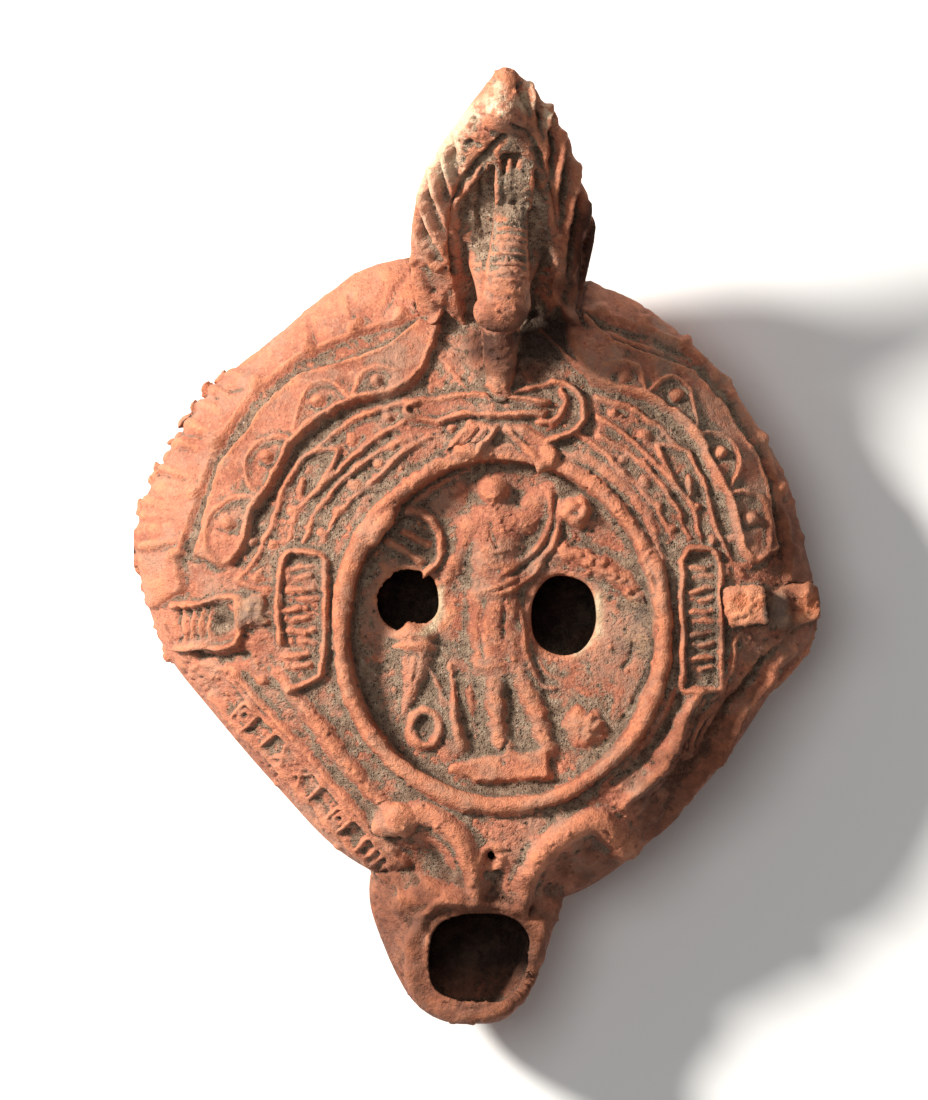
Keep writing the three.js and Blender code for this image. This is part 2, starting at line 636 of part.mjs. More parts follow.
function beastHead() {
  const brow = leafPoint(0.5, 0.6, LEAF_THICKNESS * 0.35);
  const nose = new THREE.Vector3(0.6 * PLAN, 66.2 * PLAN, brow.z - 4);
  const ribs = 5;
  const stations = Array.from({ length: 2 * ribs + 5 }, (_, i) => i / (2 * ribs + 4));
  const radius = (t) => {
    const groove = t > 0.3 && t < 0.92 ? 0.45 * Math.cos(TAU * ribs * (t - 0.3) / 0.62) : 0;
    const round = t > 0.93 ? 0.72 : 1;
    return ((3.6 + 2 * t) * round) * PLAN + groove;
  };
  const muzzle = limb(stations.map((t) => brow.clone().lerp(nose, t).add(new THREE.Vector3(0, 0, 3 * Math.sin(Math.PI * t)))),
    stations.map(radius), 7, 0.9);
  const throat = limb([
    leafPoint(0.34, 0.8, 2), new THREE.Vector3(1 * PLAN, 70 * PLAN, SHOULDER_HEIGHT + 10),
    new THREE.Vector3(1.2 * PLAN, 61 * PLAN, SHOULDER_HEIGHT + 2.4),
    new THREE.Vector3(1.2 * PLAN, 50.4 * PLAN, SHOULDER_HEIGHT + 0.6),
  ], [8.5, 6.6, 4.2, 3.4].map((r) => r * PLAN), 7, 1);
  const tufts = [-2.8, -1, 1, 2.8].map((x) => {
    const top = leafPoint(0.66, x + 0.6, LEAF_THICKNESS * 0.2);
    const low = leafPoint(0.5, x * 1.1 + 0.6, LEAF_THICKNESS * 0.42);
    return limb([top, top.clone().lerp(low, 0.5), low], [0.8, 1, 0.8], 4);
  });
  const ears = [-1, 1].map((side) => {
    const top = leafPoint(0.6, side * 4.6 + 0.6, LEAF_THICKNESS * 0.1);
    const low = leafPoint(0.32, side * 7.2 + 0.6, LEAF_THICKNESS * 0.15);
    return limb([top, top.clone().lerp(low, 0.5), low], [1.6, 3, 2], 6, 0.7);
  });
  return [muzzle, throat, ...tufts, ...ears];
}

function leafCrown() {
  const crown = leafPoint(0.9, 0, LEAF_THICKNESS * 0.16);
  const lump = limb([leafPoint(0.8, 0, LEAF_THICKNESS * 0.3), crown, leafPoint(0.98, 0, 0)], [4.2, 4, 2], 6, 0.8);
  return [lump];
}

function handle() {
  const leaf = leafStack(leafRows(), LEAF_THICKNESS * 0.35, LEAF_THICKNESS * 0.65, 0);
  const hollow = leafStack(HOLLOW_WIDTHS, LEAF_RECESS, LEAF_RECESS, LEAF_THICKNESS * 0.35);
  return [leaf.subtract(hollow), handleBack(), ...leafCrown(), ...beastHead()];
}

// The lamp

function lampSolid() {
  const relief = [
    ...standingFigure(), ...discProps(), ...ribbonKnot(), ...wing(-1), ...wing(1),
    ...strokePanel(-1), ...strokePanel(1), ...fins(), ...sidePanels(), ...leftLug(), ...rightStumps(),
    ...volutes(), ...handle(),
  ];
  const clay = union([bodyShell(), nozzleShell(), ...relief]);
  return clay.subtract(union([bodyChamber(), nozzleChamber(), ...openings()]));
}

function geometryOf(manifold) {
  const mesh = manifold.getMesh();
  const geometry = new THREE.BufferGeometry();
  geometry.setAttribute('position', new THREE.Float32BufferAttribute(mesh.vertProperties, 3));
  geometry.setIndex(Array.from(mesh.triVerts));
  return geometry;
}

// Cuts leave slivers a few microns wide: welding the corners at 0.002 mm closes them, and the clay is
// the one large body that is left
const WELD = 2e-3;

function welded(manifold) {
  const merged = mergeVertices(geometryOf(manifold), WELD);
  const vertProperties = Float32Array.from(merged.attributes.position.array);
  const triVerts = Uint32Array.from(merged.index.array);
  const bodies = new Manifold(new Mesh({ numProp: 3, vertProperties, triVerts })).decompose();
  return bodies.reduce((largest, body) => (body.volume() > largest.volume() ? body : largest));
}

const terracotta = new THREE.MeshStandardMaterial({ color: 0xb5694f, roughness: 0.9, metalness: 0 });
const clay = geometryOf(welded(lampSolid()));
clay.computeVertexNormals();
const lamp = new THREE.Mesh(clay, terracotta);
lamp.name = 'lamp';

const model = new THREE.Group();
model.add(lamp);

export default model;
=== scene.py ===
# %% [markdown]
# A large Roman oil lamp of fired clay, seen from straight above.
# The real lamp was pressed in a two-part mould, luted together and fired as one hollow piece, so it is
# one piece here too. It could be cut from a block by booleans alone, but clay has no sharp joints:
# the forms are blocked out as plain solids, fused by a voxel remesh, and the relief is then pressed
# into the fused skin, as a mould would do it.

# %% The frame
import json
import math

import bpy
import numpy as np
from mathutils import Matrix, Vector

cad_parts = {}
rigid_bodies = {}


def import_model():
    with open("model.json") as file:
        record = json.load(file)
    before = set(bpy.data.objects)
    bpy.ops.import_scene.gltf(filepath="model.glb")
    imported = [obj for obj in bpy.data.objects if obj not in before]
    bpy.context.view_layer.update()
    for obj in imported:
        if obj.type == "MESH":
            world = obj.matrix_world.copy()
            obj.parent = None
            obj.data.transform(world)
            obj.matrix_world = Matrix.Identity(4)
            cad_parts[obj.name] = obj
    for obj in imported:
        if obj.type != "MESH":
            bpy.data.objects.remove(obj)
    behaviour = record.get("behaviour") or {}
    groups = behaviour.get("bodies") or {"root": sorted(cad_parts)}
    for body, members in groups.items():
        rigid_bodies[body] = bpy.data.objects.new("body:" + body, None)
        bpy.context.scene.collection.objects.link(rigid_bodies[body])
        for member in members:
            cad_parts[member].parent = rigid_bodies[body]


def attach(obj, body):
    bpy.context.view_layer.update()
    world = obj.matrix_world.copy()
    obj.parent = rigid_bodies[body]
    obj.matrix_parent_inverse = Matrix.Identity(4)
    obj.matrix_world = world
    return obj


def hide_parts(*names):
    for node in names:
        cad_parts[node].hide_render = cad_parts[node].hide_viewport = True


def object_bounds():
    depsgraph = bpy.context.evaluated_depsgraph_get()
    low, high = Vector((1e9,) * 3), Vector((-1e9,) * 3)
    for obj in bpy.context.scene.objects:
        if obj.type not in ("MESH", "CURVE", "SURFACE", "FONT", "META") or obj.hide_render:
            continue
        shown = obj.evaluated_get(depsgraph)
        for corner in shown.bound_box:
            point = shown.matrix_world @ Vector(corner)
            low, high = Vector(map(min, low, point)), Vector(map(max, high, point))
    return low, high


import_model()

cad_low, cad_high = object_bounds()
MM = 0.001
print("frame, mm:", [round(v / MM, 1) for v in (*cad_low, *cad_high)])

# %% [markdown]
# The view from above is the drawing that everything is placed on. One step of the drawing is one
# pixel of that view, and the lamp's real length fixes how large a step is.

# %% The drawing
VIEW_SIZE = (928, 1100)
TIP_TO_LIP = 963.0
DISC_MIDDLE = (502.0, 630.0)
LENGTH = (cad_high.y - cad_low.y) / MM
PITCH = LENGTH / TIP_TO_LIP


def place(px, py):
    """Millimetres in plan for a step of the drawing."""
    return (px - DISC_MIDDLE[0]) * PITCH, (DISC_MIDDLE[1] - py) * PITCH


def step(x, y):
    """The drawing's step for millimetres in plan."""
    return DISC_MIDDLE[0] + x / PITCH, DISC_MIDDLE[1] - y / PITCH


print("one step of the drawing is", round(PITCH, 4), "mm")

# %% [markdown]
# The bare form is a low bowl with a domed shoulder. Its plan is a free outline, so it is a closed
# curve through the places where the outline turns, and every level of the bowl and of the dome is
# that curve drawn in towards the oval disc.

# %% Heights of the bare clay
WALL = 4.5
FOOT = (27.0, 31.0)
FOOT_STEP = 2.2
RIM_HEIGHT = 16.0
SHOULDER_HEIGHT = 39.0
DISC_DEPTH = 4.2
RING_RADIUS = 1.7
DISC = (31.5, 35.0)
DOME_POWER = 2.3
BODY_OUTLINE = [
    (65, 0), (62.5, 19), (56, 37), (44, 54.5), (26, 69), (0, 77), (-27, 75.5), (-47, 60.5), (-58, 51.5),
    (-65.5, 42), (-71.5, 32), (-75.5, 23), (-75.5, 14), (-73, 3), (-69, -6), (-62, -15), (-47, -32.5),
    (-31, -48), (-8, -57), (12, -56), (28, -46.5), (45, -29), (58, -10),
]


def curve_through(points, count, closed=False):
    """Even run of points on a smooth curve through the given ones."""
    pts = np.array(points, float)
    if len(pts) < 3 and not closed:
        t = np.linspace(0, 1, count)[:, None]
        return pts[0] * (1 - t) + pts[-1] * t
    if closed:
        ring = np.vstack([pts[-1:], pts, pts[:2]])
    else:
        ring = np.vstack([2 * pts[:1] - pts[1:2], pts, 2 * pts[-1:] - pts[-2:-1]])
    runs = len(ring) - 3
    at = np.linspace(0, runs, count, endpoint=not closed)
    k = np.minimum(at.astype(int), runs - 1)
    u = (at - k)[:, None]
    a, b, c, d = ring[k], ring[k + 1], ring[k + 2], ring[k + 3]
    return 0.5 * (2 * b + (c - a) * u + (2 * a - 5 * b + 4 * c - d) * u**2 + (3 * b - 3 * c + d - a) * u**3)


rim = curve_through(BODY_OUTLINE, 1440, closed=True)
rim_angle = np.unwrap(np.arctan2(rim[:, 1], rim[:, 0]))
rim_radius = np.hypot(rim[:, 0], rim[:, 1])
order = np.argsort(rim_angle % (2 * math.pi))
rim_table = (rim_angle[order] % (2 * math.pi), rim_radius[order])


def body_radius(angle):
    return np.interp(np.asarray(angle) % (2 * math.pi), *rim_table, period=2 * math.pi)


def oval_radius(angle, half):
    return 1 / np.hypot(np.cos(angle) / half[0], np.sin(angle) / half[1])


def dome(share):
    fall = (1 - np.clip(share, 0, 1) ** DOME_POWER) ** (1 / DOME_POWER)
    return RIM_HEIGHT + (SHOULDER_HEIGHT - RIM_HEIGHT) * fall


def bowl(share):
    rise = 0.5 * share + 0.5 * (1 - np.sqrt(np.clip(1 - share**2, 0, 1)))
    return FOOT_STEP + (RIM_HEIGHT - FOOT_STEP) * rise


def disc_floor(share):
    return SHOULDER_HEIGHT - DISC_DEPTH - 0.8 * (1 - share**2)


def ground(x, y):
    """Height of the bare top of the body."""
    angle, radius = np.arctan2(y, x), np.hypot(x, y)
    disc = oval_radius(angle, DISC)
    edge = disc + 2 * RING_RADIUS
    share = (radius - edge) / (body_radius(angle) - edge)
    return np.where(radius < disc, disc_floor(radius / disc),
                    np.where(radius < edge, SHOULDER_HEIGHT, dome(share)))


print("rim reaches", round(float(rim_radius.max()), 1), "mm from the middle")

# %% [markdown]
# Blocking out: each form is a stack of rings. The first ring is a circle primitive; each next level is
# extruded from the last in edit mode and set to its own outline. This is how a lofted hull is made by
# hand, and it keeps one clean grid that voxels can fuse later.

# %% Stacks, ropes and pebbles
forms = []


def alone(obj):
    bpy.ops.object.select_all(action="DESELECT")
    obj.select_set(True)
    bpy.context.view_layer.objects.active = obj
    return obj


def get_points(obj):
    flat = np.empty(len(obj.data.vertices) * 3)
    obj.data.vertices.foreach_get("co", flat)
    return flat.reshape(-1, 3)


def set_points(obj, points):
    obj.data.vertices.foreach_set("co", np.ascontiguousarray(points).ravel())
    obj.data.update()


def stack(name, rings):
    """Closed solid over rings of points: a straight column of levels, each then set to its own ring."""
    rings = np.asarray(rings, float)
    levels, count = rings.shape[:2]
    bpy.ops.object.select_all(action="DESELECT")
    bpy.ops.mesh.primitive_circle_add(vertices=count, radius=1, fill_type="NGON")
    obj = bpy.context.object
    obj.name = name
    bpy.ops.object.mode_set(mode="EDIT")
    bpy.ops.mesh.select_all(action="SELECT")
    for _ in range(levels - 1):
        bpy.ops.mesh.extrude_region_move(TRANSFORM_OT_translate={"value": (0, 0, 1)})
    bpy.ops.object.mode_set(mode="OBJECT")
    column = get_points(obj)
    row = np.rint(column[:, 2]).astype(int)
    turn = np.rint(np.arctan2(column[:, 1], column[:, 0]) / (2 * math.pi) * count).astype(int) % count
    set_points(obj, rings[row, turn])
    bpy.ops.object.mode_set(mode="EDIT")
    bpy.ops.mesh.select_all(action="SELECT")
    bpy.ops.mesh.normals_make_consistent(inside=False)
    bpy.ops.object.mode_set(mode="OBJECT")
    return obj


def rope(name, points, radii, sides=16, flat=1.0):
    """Rounded solid whose thickness changes along a run of points."""
    run = curve_through(points, 8 * len(points))
    thick = np.interp(np.linspace(0, 1, len(run)), np.linspace(0, 1, len(radii)), radii)
    along = np.gradient(run, axis=0)
    along /= np.linalg.norm(along, axis=1)[:, None]
    across = np.cross(along, (0, 0, 1.0))
    across /= np.linalg.norm(across, axis=1)[:, None] + 1e-9
    up = np.cross(across, along)
    turn = np.linspace(0, 2 * math.pi, sides, endpoint=False)
    ends = [(0, 0.35, -0.8), (0, 0.75, -0.5)]
    rings = []
    for row, share, back in [(0, s, b) for _, s, b in ends] + [(k, 1, 0) for k in range(len(run))] + [
            (len(run) - 1, s, -b) for _, s, b in reversed(ends)]:
        middle = run[row] + along[row] * thick[row] * back
        radius = thick[row] * share
        rings.append(middle + radius *
                     (np.cos(turn)[:, None] * across[row] + flat * np.sin(turn)[:, None] * up[row]))
    obj = stack(name, rings)
    forms.append(obj)
    return obj


def pebble(name, middle, half, turn=0.0, tilt=0.0):
    """Rounded lump, turned about the upright and tilted about its own side."""
    bpy.ops.object.select_all(action="DESELECT")
    bpy.ops.mesh.primitive_uv_sphere_add(segments=48, ring_count=28, radius=1)
    obj = bpy.context.object
    obj.name = name
    obj.scale = half
    obj.rotation_euler = (tilt, 0, turn)
    obj.location = middle
    bpy.ops.object.transform_apply(location=True, rotation=True, scale=True)
    forms.append(obj)
    return obj


print("helpers ready")

# %% [markdown]
# The body: foot, bowl, dome, the round moulding of the disc and the sunken floor, in one stack.

# %% Body
AROUND = 160
DIRECTIONS = np.linspace(0, 2 * math.pi, AROUND, endpoint=False)


def level(radius, height):
    radius = np.broadcast_to(radius, DIRECTIONS.shape)
    return np.stack([radius * np.cos(DIRECTIONS), radius * np.sin(DIRECTIONS),
                     np.broadcast_to(height, DIRECTIONS.shape)], axis=1)


foot_radius = oval_radius(DIRECTIONS, FOOT)
disc_radius = oval_radius(DIRECTIONS, DISC)
edge_radius = disc_radius + 2 * RING_RADIUS
outer_radius = body_radius(DIRECTIONS)
under_share = np.linspace(0, 1, 14)
dome_share = 1 - np.linspace(0, 1, 26) ** 2.2

RIBBON_AT, RIBBON_SPREAD = math.radians(88), math.radians(15)
crossed = 1 - 0.85 * np.exp(-((DIRECTIONS - RIBBON_AT) / RIBBON_SPREAD) ** 2)
body = stack("body_form",
             [level(foot_radius * 0.5, 0.0), level(foot_radius, 0.0), level(foot_radius + 1, FOOT_STEP),
              *[level(foot_radius + 1 + s * (outer_radius - foot_radius - 1), bowl(s))
                for s in under_share[1:-1]],
              *[level(edge_radius + s * (outer_radius - edge_radius), dome(s)) for s in dome_share],
              *[level(disc_radius + RING_RADIUS * (1 + math.cos(t)),
                      SHOULDER_HEIGHT + (0.5 + RING_RADIUS * math.sin(t)) * crossed)
                for t in np.linspace(0.1, 2.3, 9)],
              *[level(disc_radius * s, disc_floor(s)) for s in (0.985, 0.9, 0.75, 0.5, 0.2)]])
forms.append(body)
print("body form:", len(body.data.polygons), "faces")

# %% [markdown]
# The nozzle grows out of the body and bends a little to the left. Its sections are rounded boxes that
# are wider below than above, because the mould's upper half was pressed deeper than it was wide.

# %% Nozzle
NOZZLE_TOP = 34.5
NOZZLE_KEEL = 7.0
# Distance from the middle, sideways place, half width, top and keel of each section
NOZZLE = [(-36, -1, 19, 36.5, 6), (-47, -4.5, 21.5, 36, 6), (-56, -7.4, 20.0, 35, 6.5),
          (-66, -7.4, 16.9, NOZZLE_TOP, NOZZLE_KEEL),
          (-75, -7.0, 12.9, NOZZLE_TOP - 0.6, NOZZLE_KEEL + 2.5),
          (-79.2, -6.7, 9.4, NOZZLE_TOP - 1.8, NOZZLE_KEEL + 5),
          (-81.2, -6.2, 6.2, NOZZLE_TOP - 4, NOZZLE_KEEL + 9),
          (-81.9, -6.0, 3.0, NOZZLE_TOP - 7, NOZZLE_KEEL + 12)]


def nozzle_section(y, middle, half, top, keel, inset=0.0, count=64):
    turn = np.linspace(0, 2 * math.pi, count, endpoint=False)
    side = np.sign(np.cos(turn)) * np.abs(np.cos(turn)) ** 0.8
    rise = np.sign(np.sin(turn)) * np.abs(np.sin(turn)) ** 0.8
    wide = max(1.0, half - inset) * (1 - 0.16 * np.clip(rise, 0, 1))
    x = middle + 1.6 * rise + wide * side
    z = (top + keel) / 2 + ((top - keel) / 2 - inset) * rise
    return np.stack([x, np.full(count, float(y)), z], axis=1)


nozzle_rows = curve_through(NOZZLE, 40)
nozzle = stack("nozzle_form", [nozzle_section(*row) for row in nozzle_rows])
forms.append(nozzle)


def nozzle_height(y):
    return np.interp(-np.asarray(y), -nozzle_rows[:, 0], nozzle_rows[:, 3])


print("nozzle form:", len(nozzle.data.polygons), "faces")

# %% [markdown]
# The chamber and the holes are solids too, taken away by a boolean. A real lamp's filling holes were
# broken through with a stick after the disc was pressed, so their edges wander: each hole is a
# rounded ring whose radius is pushed in and out a little.

# %% Chamber and holes
WICK = (480, 958, 21.4, 18.4, 0.7)
LEFT_FILL = (408, 600, 12.9, 12.9, 0.95)
RIGHT_FILL = (563.5, 615.5, 13.9, 16.4, 0.95)
AIR = (492, 854, 2.6, 2.6, 1.0)


def chamber():
    inner = outer_radius - 1.25 * WALL
    rows = []
    for share in (0.5, 0.7, 0.85, 0.95):
        radius = share * inner
        out = np.clip((radius - foot_radius) / (outer_radius - foot_radius), 0, 1)
        rows.append(level(radius, bowl(out) + WALL))
    rows.append(level(inner, RIM_HEIGHT))
    for share in (0.97, 0.9, 0.8, 0.66, 0.5, 0.3):
        radius = share * inner
        x, y = radius * np.cos(DIRECTIONS), radius * np.sin(DIRECTIONS)
        rows.append(level(radius, ground(x, y) - WALL))
    return stack("chamber_hollow", rows)


def nozzle_chamber():
    rows = [nozzle_section(*row, inset=WALL) for row in nozzle_rows[:-12]]
    return stack("nozzle_hollow", rows)


def hole(name, px, py, width, length, power, ragged=0.0, seed=0):
    middle = place(px, py)
    turn = np.linspace(0, 2 * math.pi, 56, endpoint=False)
    rng = np.random.default_rng(seed)
    wander = sum(rng.uniform(-1, 1) * np.sin(k * turn + rng.uniform(0, 6.3)) / k
                 for k in range(2, 8)) * ragged
    x = np.sign(np.cos(turn)) * np.abs(np.cos(turn)) ** power * (width / 2 + wander)
    y = np.sign(np.sin(turn)) * np.abs(np.sin(turn)) ** power * (length / 2 + wander)
    rows = [np.stack([middle[0] + x * s, middle[1] + y * s, np.full(56, z)], axis=1)
            for z, s in ((20.0, 1.0), (32.0, 1.0), (60.0, 1.03))]
    return stack(name, rows)


hollows = [chamber(), nozzle_chamber(), hole("wick_hollow", *WICK, ragged=0.25, seed=3),
           hole("left_fill_hollow", *LEFT_FILL, ragged=0.5, seed=11),
           hole("right_fill_hollow", *RIGHT_FILL, ragged=0.45, seed=5), hole("air_hollow", *AIR)]


def cut(target, tool):
    alone(target)
    change = target.modifiers.new("cut", "BOOLEAN")
    change.operation = "DIFFERENCE"
    change.solver = "EXACT"
    change.object = tool
    bpy.ops.object.modifier_apply(modifier=change.name)


print("hollows:", [tool.name for tool in hollows])

# %% [markdown]
# The handle is a leaf that leans back over the rear of the lamp. Its two edges differ, because the
# left one is worn and the right one keeps its scallops, so each level takes its own left and right
# reach. The hollow in front is another stack, taken away, and the beast's head is set into it.

# %% The leaf
LEAF_TOP = cad_high.z / MM
LEAF_FOOT = np.array((0, 64.0, SHOULDER_HEIGHT - 9))
LEAF_END = np.array((0.4, 112.8, LEAF_TOP - 3.2))
LEAF_FORWARD = np.cross((1.0, 0, 0), LEAF_END - LEAF_FOOT)
LEAF_FORWARD /= np.linalg.norm(LEAF_FORWARD)
LEAF_FRONT, LEAF_BACK = 4.9, 9.1
# Share of the leaf's length, left reach, right reach
LEAF_REACH = [
    (0.0, 16.5, 15.5), (0.2, 18.6, 17.6), (0.333, 19.2, 19.0), (0.408, 18.9, 19.4), (0.45, 18.6, 17.9),
    (0.52, 18.0, 17.8), (0.575, 17.2, 16.2), (0.63, 16.0, 16.3), (0.69, 14.2, 14.4), (0.75, 12.4, 14.0),
    (0.81, 10.2, 11.5), (0.855, 8.6, 11.3), (0.9, 6.8, 8.2), (0.955, 4.6, 7.0), (1.0, 2.6, 3.2),
]
HOLLOW_REACH = [
    (0.02, 7.6, 9.2), (0.15, 9.2, 10.2), (0.27, 10.6, 10.9), (0.38, 11.2, 11.2), (0.54, 10.0, 10.0),
    (0.64, 6.2, 9.0), (0.7, 3.0, 7.2), (0.76, -0.2, 3.0),
]


def leaf_at(share, x=0.0, forward=0.0):
    return LEAF_FOOT + (LEAF_END - LEAF_FOOT) * share + np.array((x, 0, 0)) + LEAF_FORWARD * forward


def leaf_stack(name, reach, rows, front, back, lift, count=48):
    turn = np.linspace(0, 2 * math.pi, count, endpoint=False)
    side, depth = np.cos(turn), np.sin(turn)
    table = np.array(reach)
    rings = []
    for share in np.linspace(table[0, 0], table[-1, 0], rows):
        left = np.interp(share, table[:, 0], table[:, 1])
        right = np.interp(share, table[:, 0], table[:, 2])
        thin = 1 - 0.5 * share**3
        across = np.where(side > 0, side * right, side * left)
        forward = np.where(depth > 0, depth * front, depth * back) * thin + lift
        rings.append(leaf_at(share) + across[:, None] * (1, 0, 0) + forward[:, None] * LEAF_FORWARD)
    return stack(name, rings)


leaf = leaf_stack("leaf_form", LEAF_REACH, 64, LEAF_FRONT, LEAF_BACK, 0.0)
forms.append(leaf)
leaf_hollow = leaf_stack("leaf_hollow", HOLLOW_REACH, 30, 5.0, 5.0, 4.6, 32)
strut_root = np.array((0, 68.0, SHOULDER_HEIGHT - 14))
strut_top = leaf_at(0.55, 0, -LEAF_BACK * 0.45)
strut = rope("strut_form", [strut_root, strut_root * 0.45 + strut_top * 0.55 + (0, 3, 0), strut_top],
             [12.0, 9.0, 6.5], 28, 0.85)
print("leaf leans", round(math.degrees(math.atan2(51, LEAF_TOP - 30))), "degrees from upright")

# %% [markdown]
# The beast's head: a low dome in the hollow, two ears, four locks on the brow, and a long ribbed
# muzzle that stands free over the neck and throws the deepest shadow of the lamp.

# %% The beast's head
MUZZLE_RIBS = 5
pebble("head_form", leaf_at(0.42, 0.8, 0.4), (8.6, 13.0, 3.4), 0, math.radians(45))
for side, reach in ((-1, 6.6), (1, 7.0)):
    pebble("ear_form", leaf_at(0.44, side * reach + 0.4, 1.2), (2.0, 8.2, 1.6), side * 0.1,
           math.radians(45))
brow = leaf_at(0.53, 1.6, 4.4)
nose = np.array((0.7, 65.6, brow[2] - 3.5))
along = np.linspace(0, 1, 46)
ribbed = (along > 0.3) & (along < 0.82)
muzzle_radius = 3.5 + 2.0 * along**1.5 + np.where(ribbed,
                                                  0.42 * np.cos(2 * math.pi * MUZZLE_RIBS *
                                                                (along - 0.3) / 0.52), 0)
muzzle_radius = np.where(along > 0.95, muzzle_radius * 0.86, muzzle_radius)
muzzle_line = [brow + (nose - brow) * t + np.array((0, 0, 2.6 * math.sin(math.pi * t)))
               for t in (0, 0.25, 0.5, 0.75, 1)]
rope("muzzle_form", muzzle_line, muzzle_radius, 28, 0.9)
pebble("snout_form", (-0.4, 66.0, nose[2] - 1.2), (5.7, 4.4, 4.4))
rope("throat_form",
     [leaf_at(0.30, 0.2, 1.0), (0, 71.0, SHOULDER_HEIGHT + 9), (-0.2, 62.0, SHOULDER_HEIGHT + 3.0),
      (-0.4, 51.0, SHOULDER_HEIGHT - 0.8)], [8.0, 5.6, 3.9, 2.8], 24)
for px in (497, 508, 519, 529):
    x = (px - DISC_MIDDLE[0]) * PITCH
    rope("lock_form", [leaf_at(0.73, x, 3.2), leaf_at(0.64, x * 0.96, 4.6), leaf_at(0.55, x * 0.9, 4.6)],
         [0.7, 1.1, 0.8], 12)
rope("crown_form", [leaf_at(0.885, -0.9, 1.8), leaf_at(0.93, -0.5, 2.0), leaf_at(0.97, 0.2, 1.0)],
     [3.9, 4.0, 2.6], 20, 0.8)
pebble("palate_form", leaf_at(0.78, 4.4, 1.2), (4.2, 4.6, 1.8), 0, math.radians(45))
pebble("tip_form", leaf_at(0.985, 0.4, -1.2), (3.2, 3.4, 3.0), 0, math.radians(45))
print("muzzle ends", round(float(nose[2]), 1), "mm up")

# %% [markdown]
# The lugs. The left one is whole: a ribbed horn that grows out of the shoulder. The right one broke
# off long ago and left two stumps, which stay as they are.

# %% Lugs, stumps, knobs and teeth
HORN_HEIGHT = RIM_HEIGHT + 10


def slab(name, corners, top, deep, round_off=0.8):
    """Block over a four-cornered plan, with its edges bevelled."""
    ring = [np.array((*place(*corner), 0.0)) for corner in corners]
    bpy.ops.object.select_all(action="DESELECT")
    bpy.ops.mesh.primitive_cube_add(size=2)
    obj = bpy.context.object
    obj.name = name
    block = get_points(obj)
    for index, (x, y, z) in enumerate(block):
        corner = ring[{(-1, 1): 0, (1, 1): 1, (1, -1): 2, (-1, -1): 3}[(round(x), round(y))]]
        block[index] = (corner[0], corner[1], top if z > 0 else top - deep)
    set_points(obj, block)
    bpy.ops.object.mode_set(mode="EDIT")
    bpy.ops.mesh.select_all(action="SELECT")
    bpy.ops.mesh.normals_make_consistent(inside=False)
    bpy.ops.mesh.bevel(offset=round_off, segments=2, affect="EDGES")
    bpy.ops.object.mode_set(mode="OBJECT")
    forms.append(obj)
    return obj


def low_place(px, py, z):
    return (*place(px, py), z)


horn = rope("horn_form", [low_place(246, 616, HORN_HEIGHT + 8), low_place(222, 622, HORN_HEIGHT + 6.5),
                          low_place(198, 627, HORN_HEIGHT + 3.5), low_place(180, 630, HORN_HEIGHT - 1)],
            [5.2, 5.2, 5.0, 3.6], 24, 0.75)
boss_slab = slab("horn_boss_form", [(238, 597), (268, 594), (271, 627), (240, 630)], SHOULDER_HEIGHT + 0.2,
                 9, 1.9)
rope("left_ledge_form", [low_place(184, 662, 19), low_place(206, 674, 24), low_place(238, 672, 30),
                                      low_place(272, 652, 35.5)], [1.6, 2.0, 1.7, 1.0], 16)
stump_slab = slab("stump_form", [(723, 588), (763, 585), (767, 622), (729, 627)], SHOULDER_HEIGHT + 2.6,
                  14, 0.5)
pebble("crust_form", low_place(779, 611, 31), (4.0, 5.0, 5.2))
outer_slab = slab("outer_stump_form", [(786, 588), (818, 586), (822, 618), (790, 628)], RIM_HEIGHT + 18,
                  17, 0.6)
rope("right_ledge_form", [low_place(810, 622, 18), low_place(800, 645, 20), low_place(782, 668, 22),
                          low_place(762, 692, 22)], [1.8, 2.4, 2.2, 1.4], 16)
KNOBS = (("left_knob_form", (394, 819), (4.4, 3.8, 2.6)), ("right_knob_form", (624, 844), (4.2, 3.6, 2.6)))
KNOB_SINK = 0.3
for name, spot, half in KNOBS:
    x, y = place(*spot)
    pebble(name, (x, y, float(ground(x, y)) - KNOB_SINK), half)
TEETH = [(219, 376), (208, 390), (192, 414), (174, 435), (167, 455), (149, 473), (131, 505), (131, 530),
         (131, 548), (134, 570), (141, 592), (147, 626), (161, 649)]
chance = np.random.default_rng(17)
for px, py in TEETH:
    for _ in range(4):
        x, y = place(px + chance.uniform(-4, 4), py + chance.uniform(-9, 9))
        turn = math.atan2(y, x)
        out = float(body_radius(turn)) - chance.uniform(1.9, 2.9)
        half = (chance.uniform(2.3, 3.2), chance.uniform(1.0, 2.0), chance.uniform(1.2, 2.6))
        middle = (out * math.cos(turn), out * math.sin(turn), RIM_HEIGHT + chance.uniform(0.5, 3.5))
        pebble("tooth_form", middle, half, turn + chance.uniform(-0.6, 0.6), chance.uniform(-0.5, 0.5))
print("forms so far:", len(forms))

# %% [markdown]
# Now everything that would reach into the chamber is cut by the hollows. The forms are cut one by one,
# while they are still simple, because a boolean on a finished carving is slow and fragile.

# %% Cutting the hollows
for target in (body, nozzle, leaf, strut, horn, boss_slab, stump_slab, outer_slab):
    for tool in hollows[:2] if target not in (body, nozzle) else hollows:
        cut(target, tool)
cut(leaf, leaf_hollow)
for tool in (*hollows, leaf_hollow):
    bpy.data.objects.remove(tool)
print("hollow body:", len(body.data.polygons), "faces; nozzle:", len(nozzle.data.polygons))

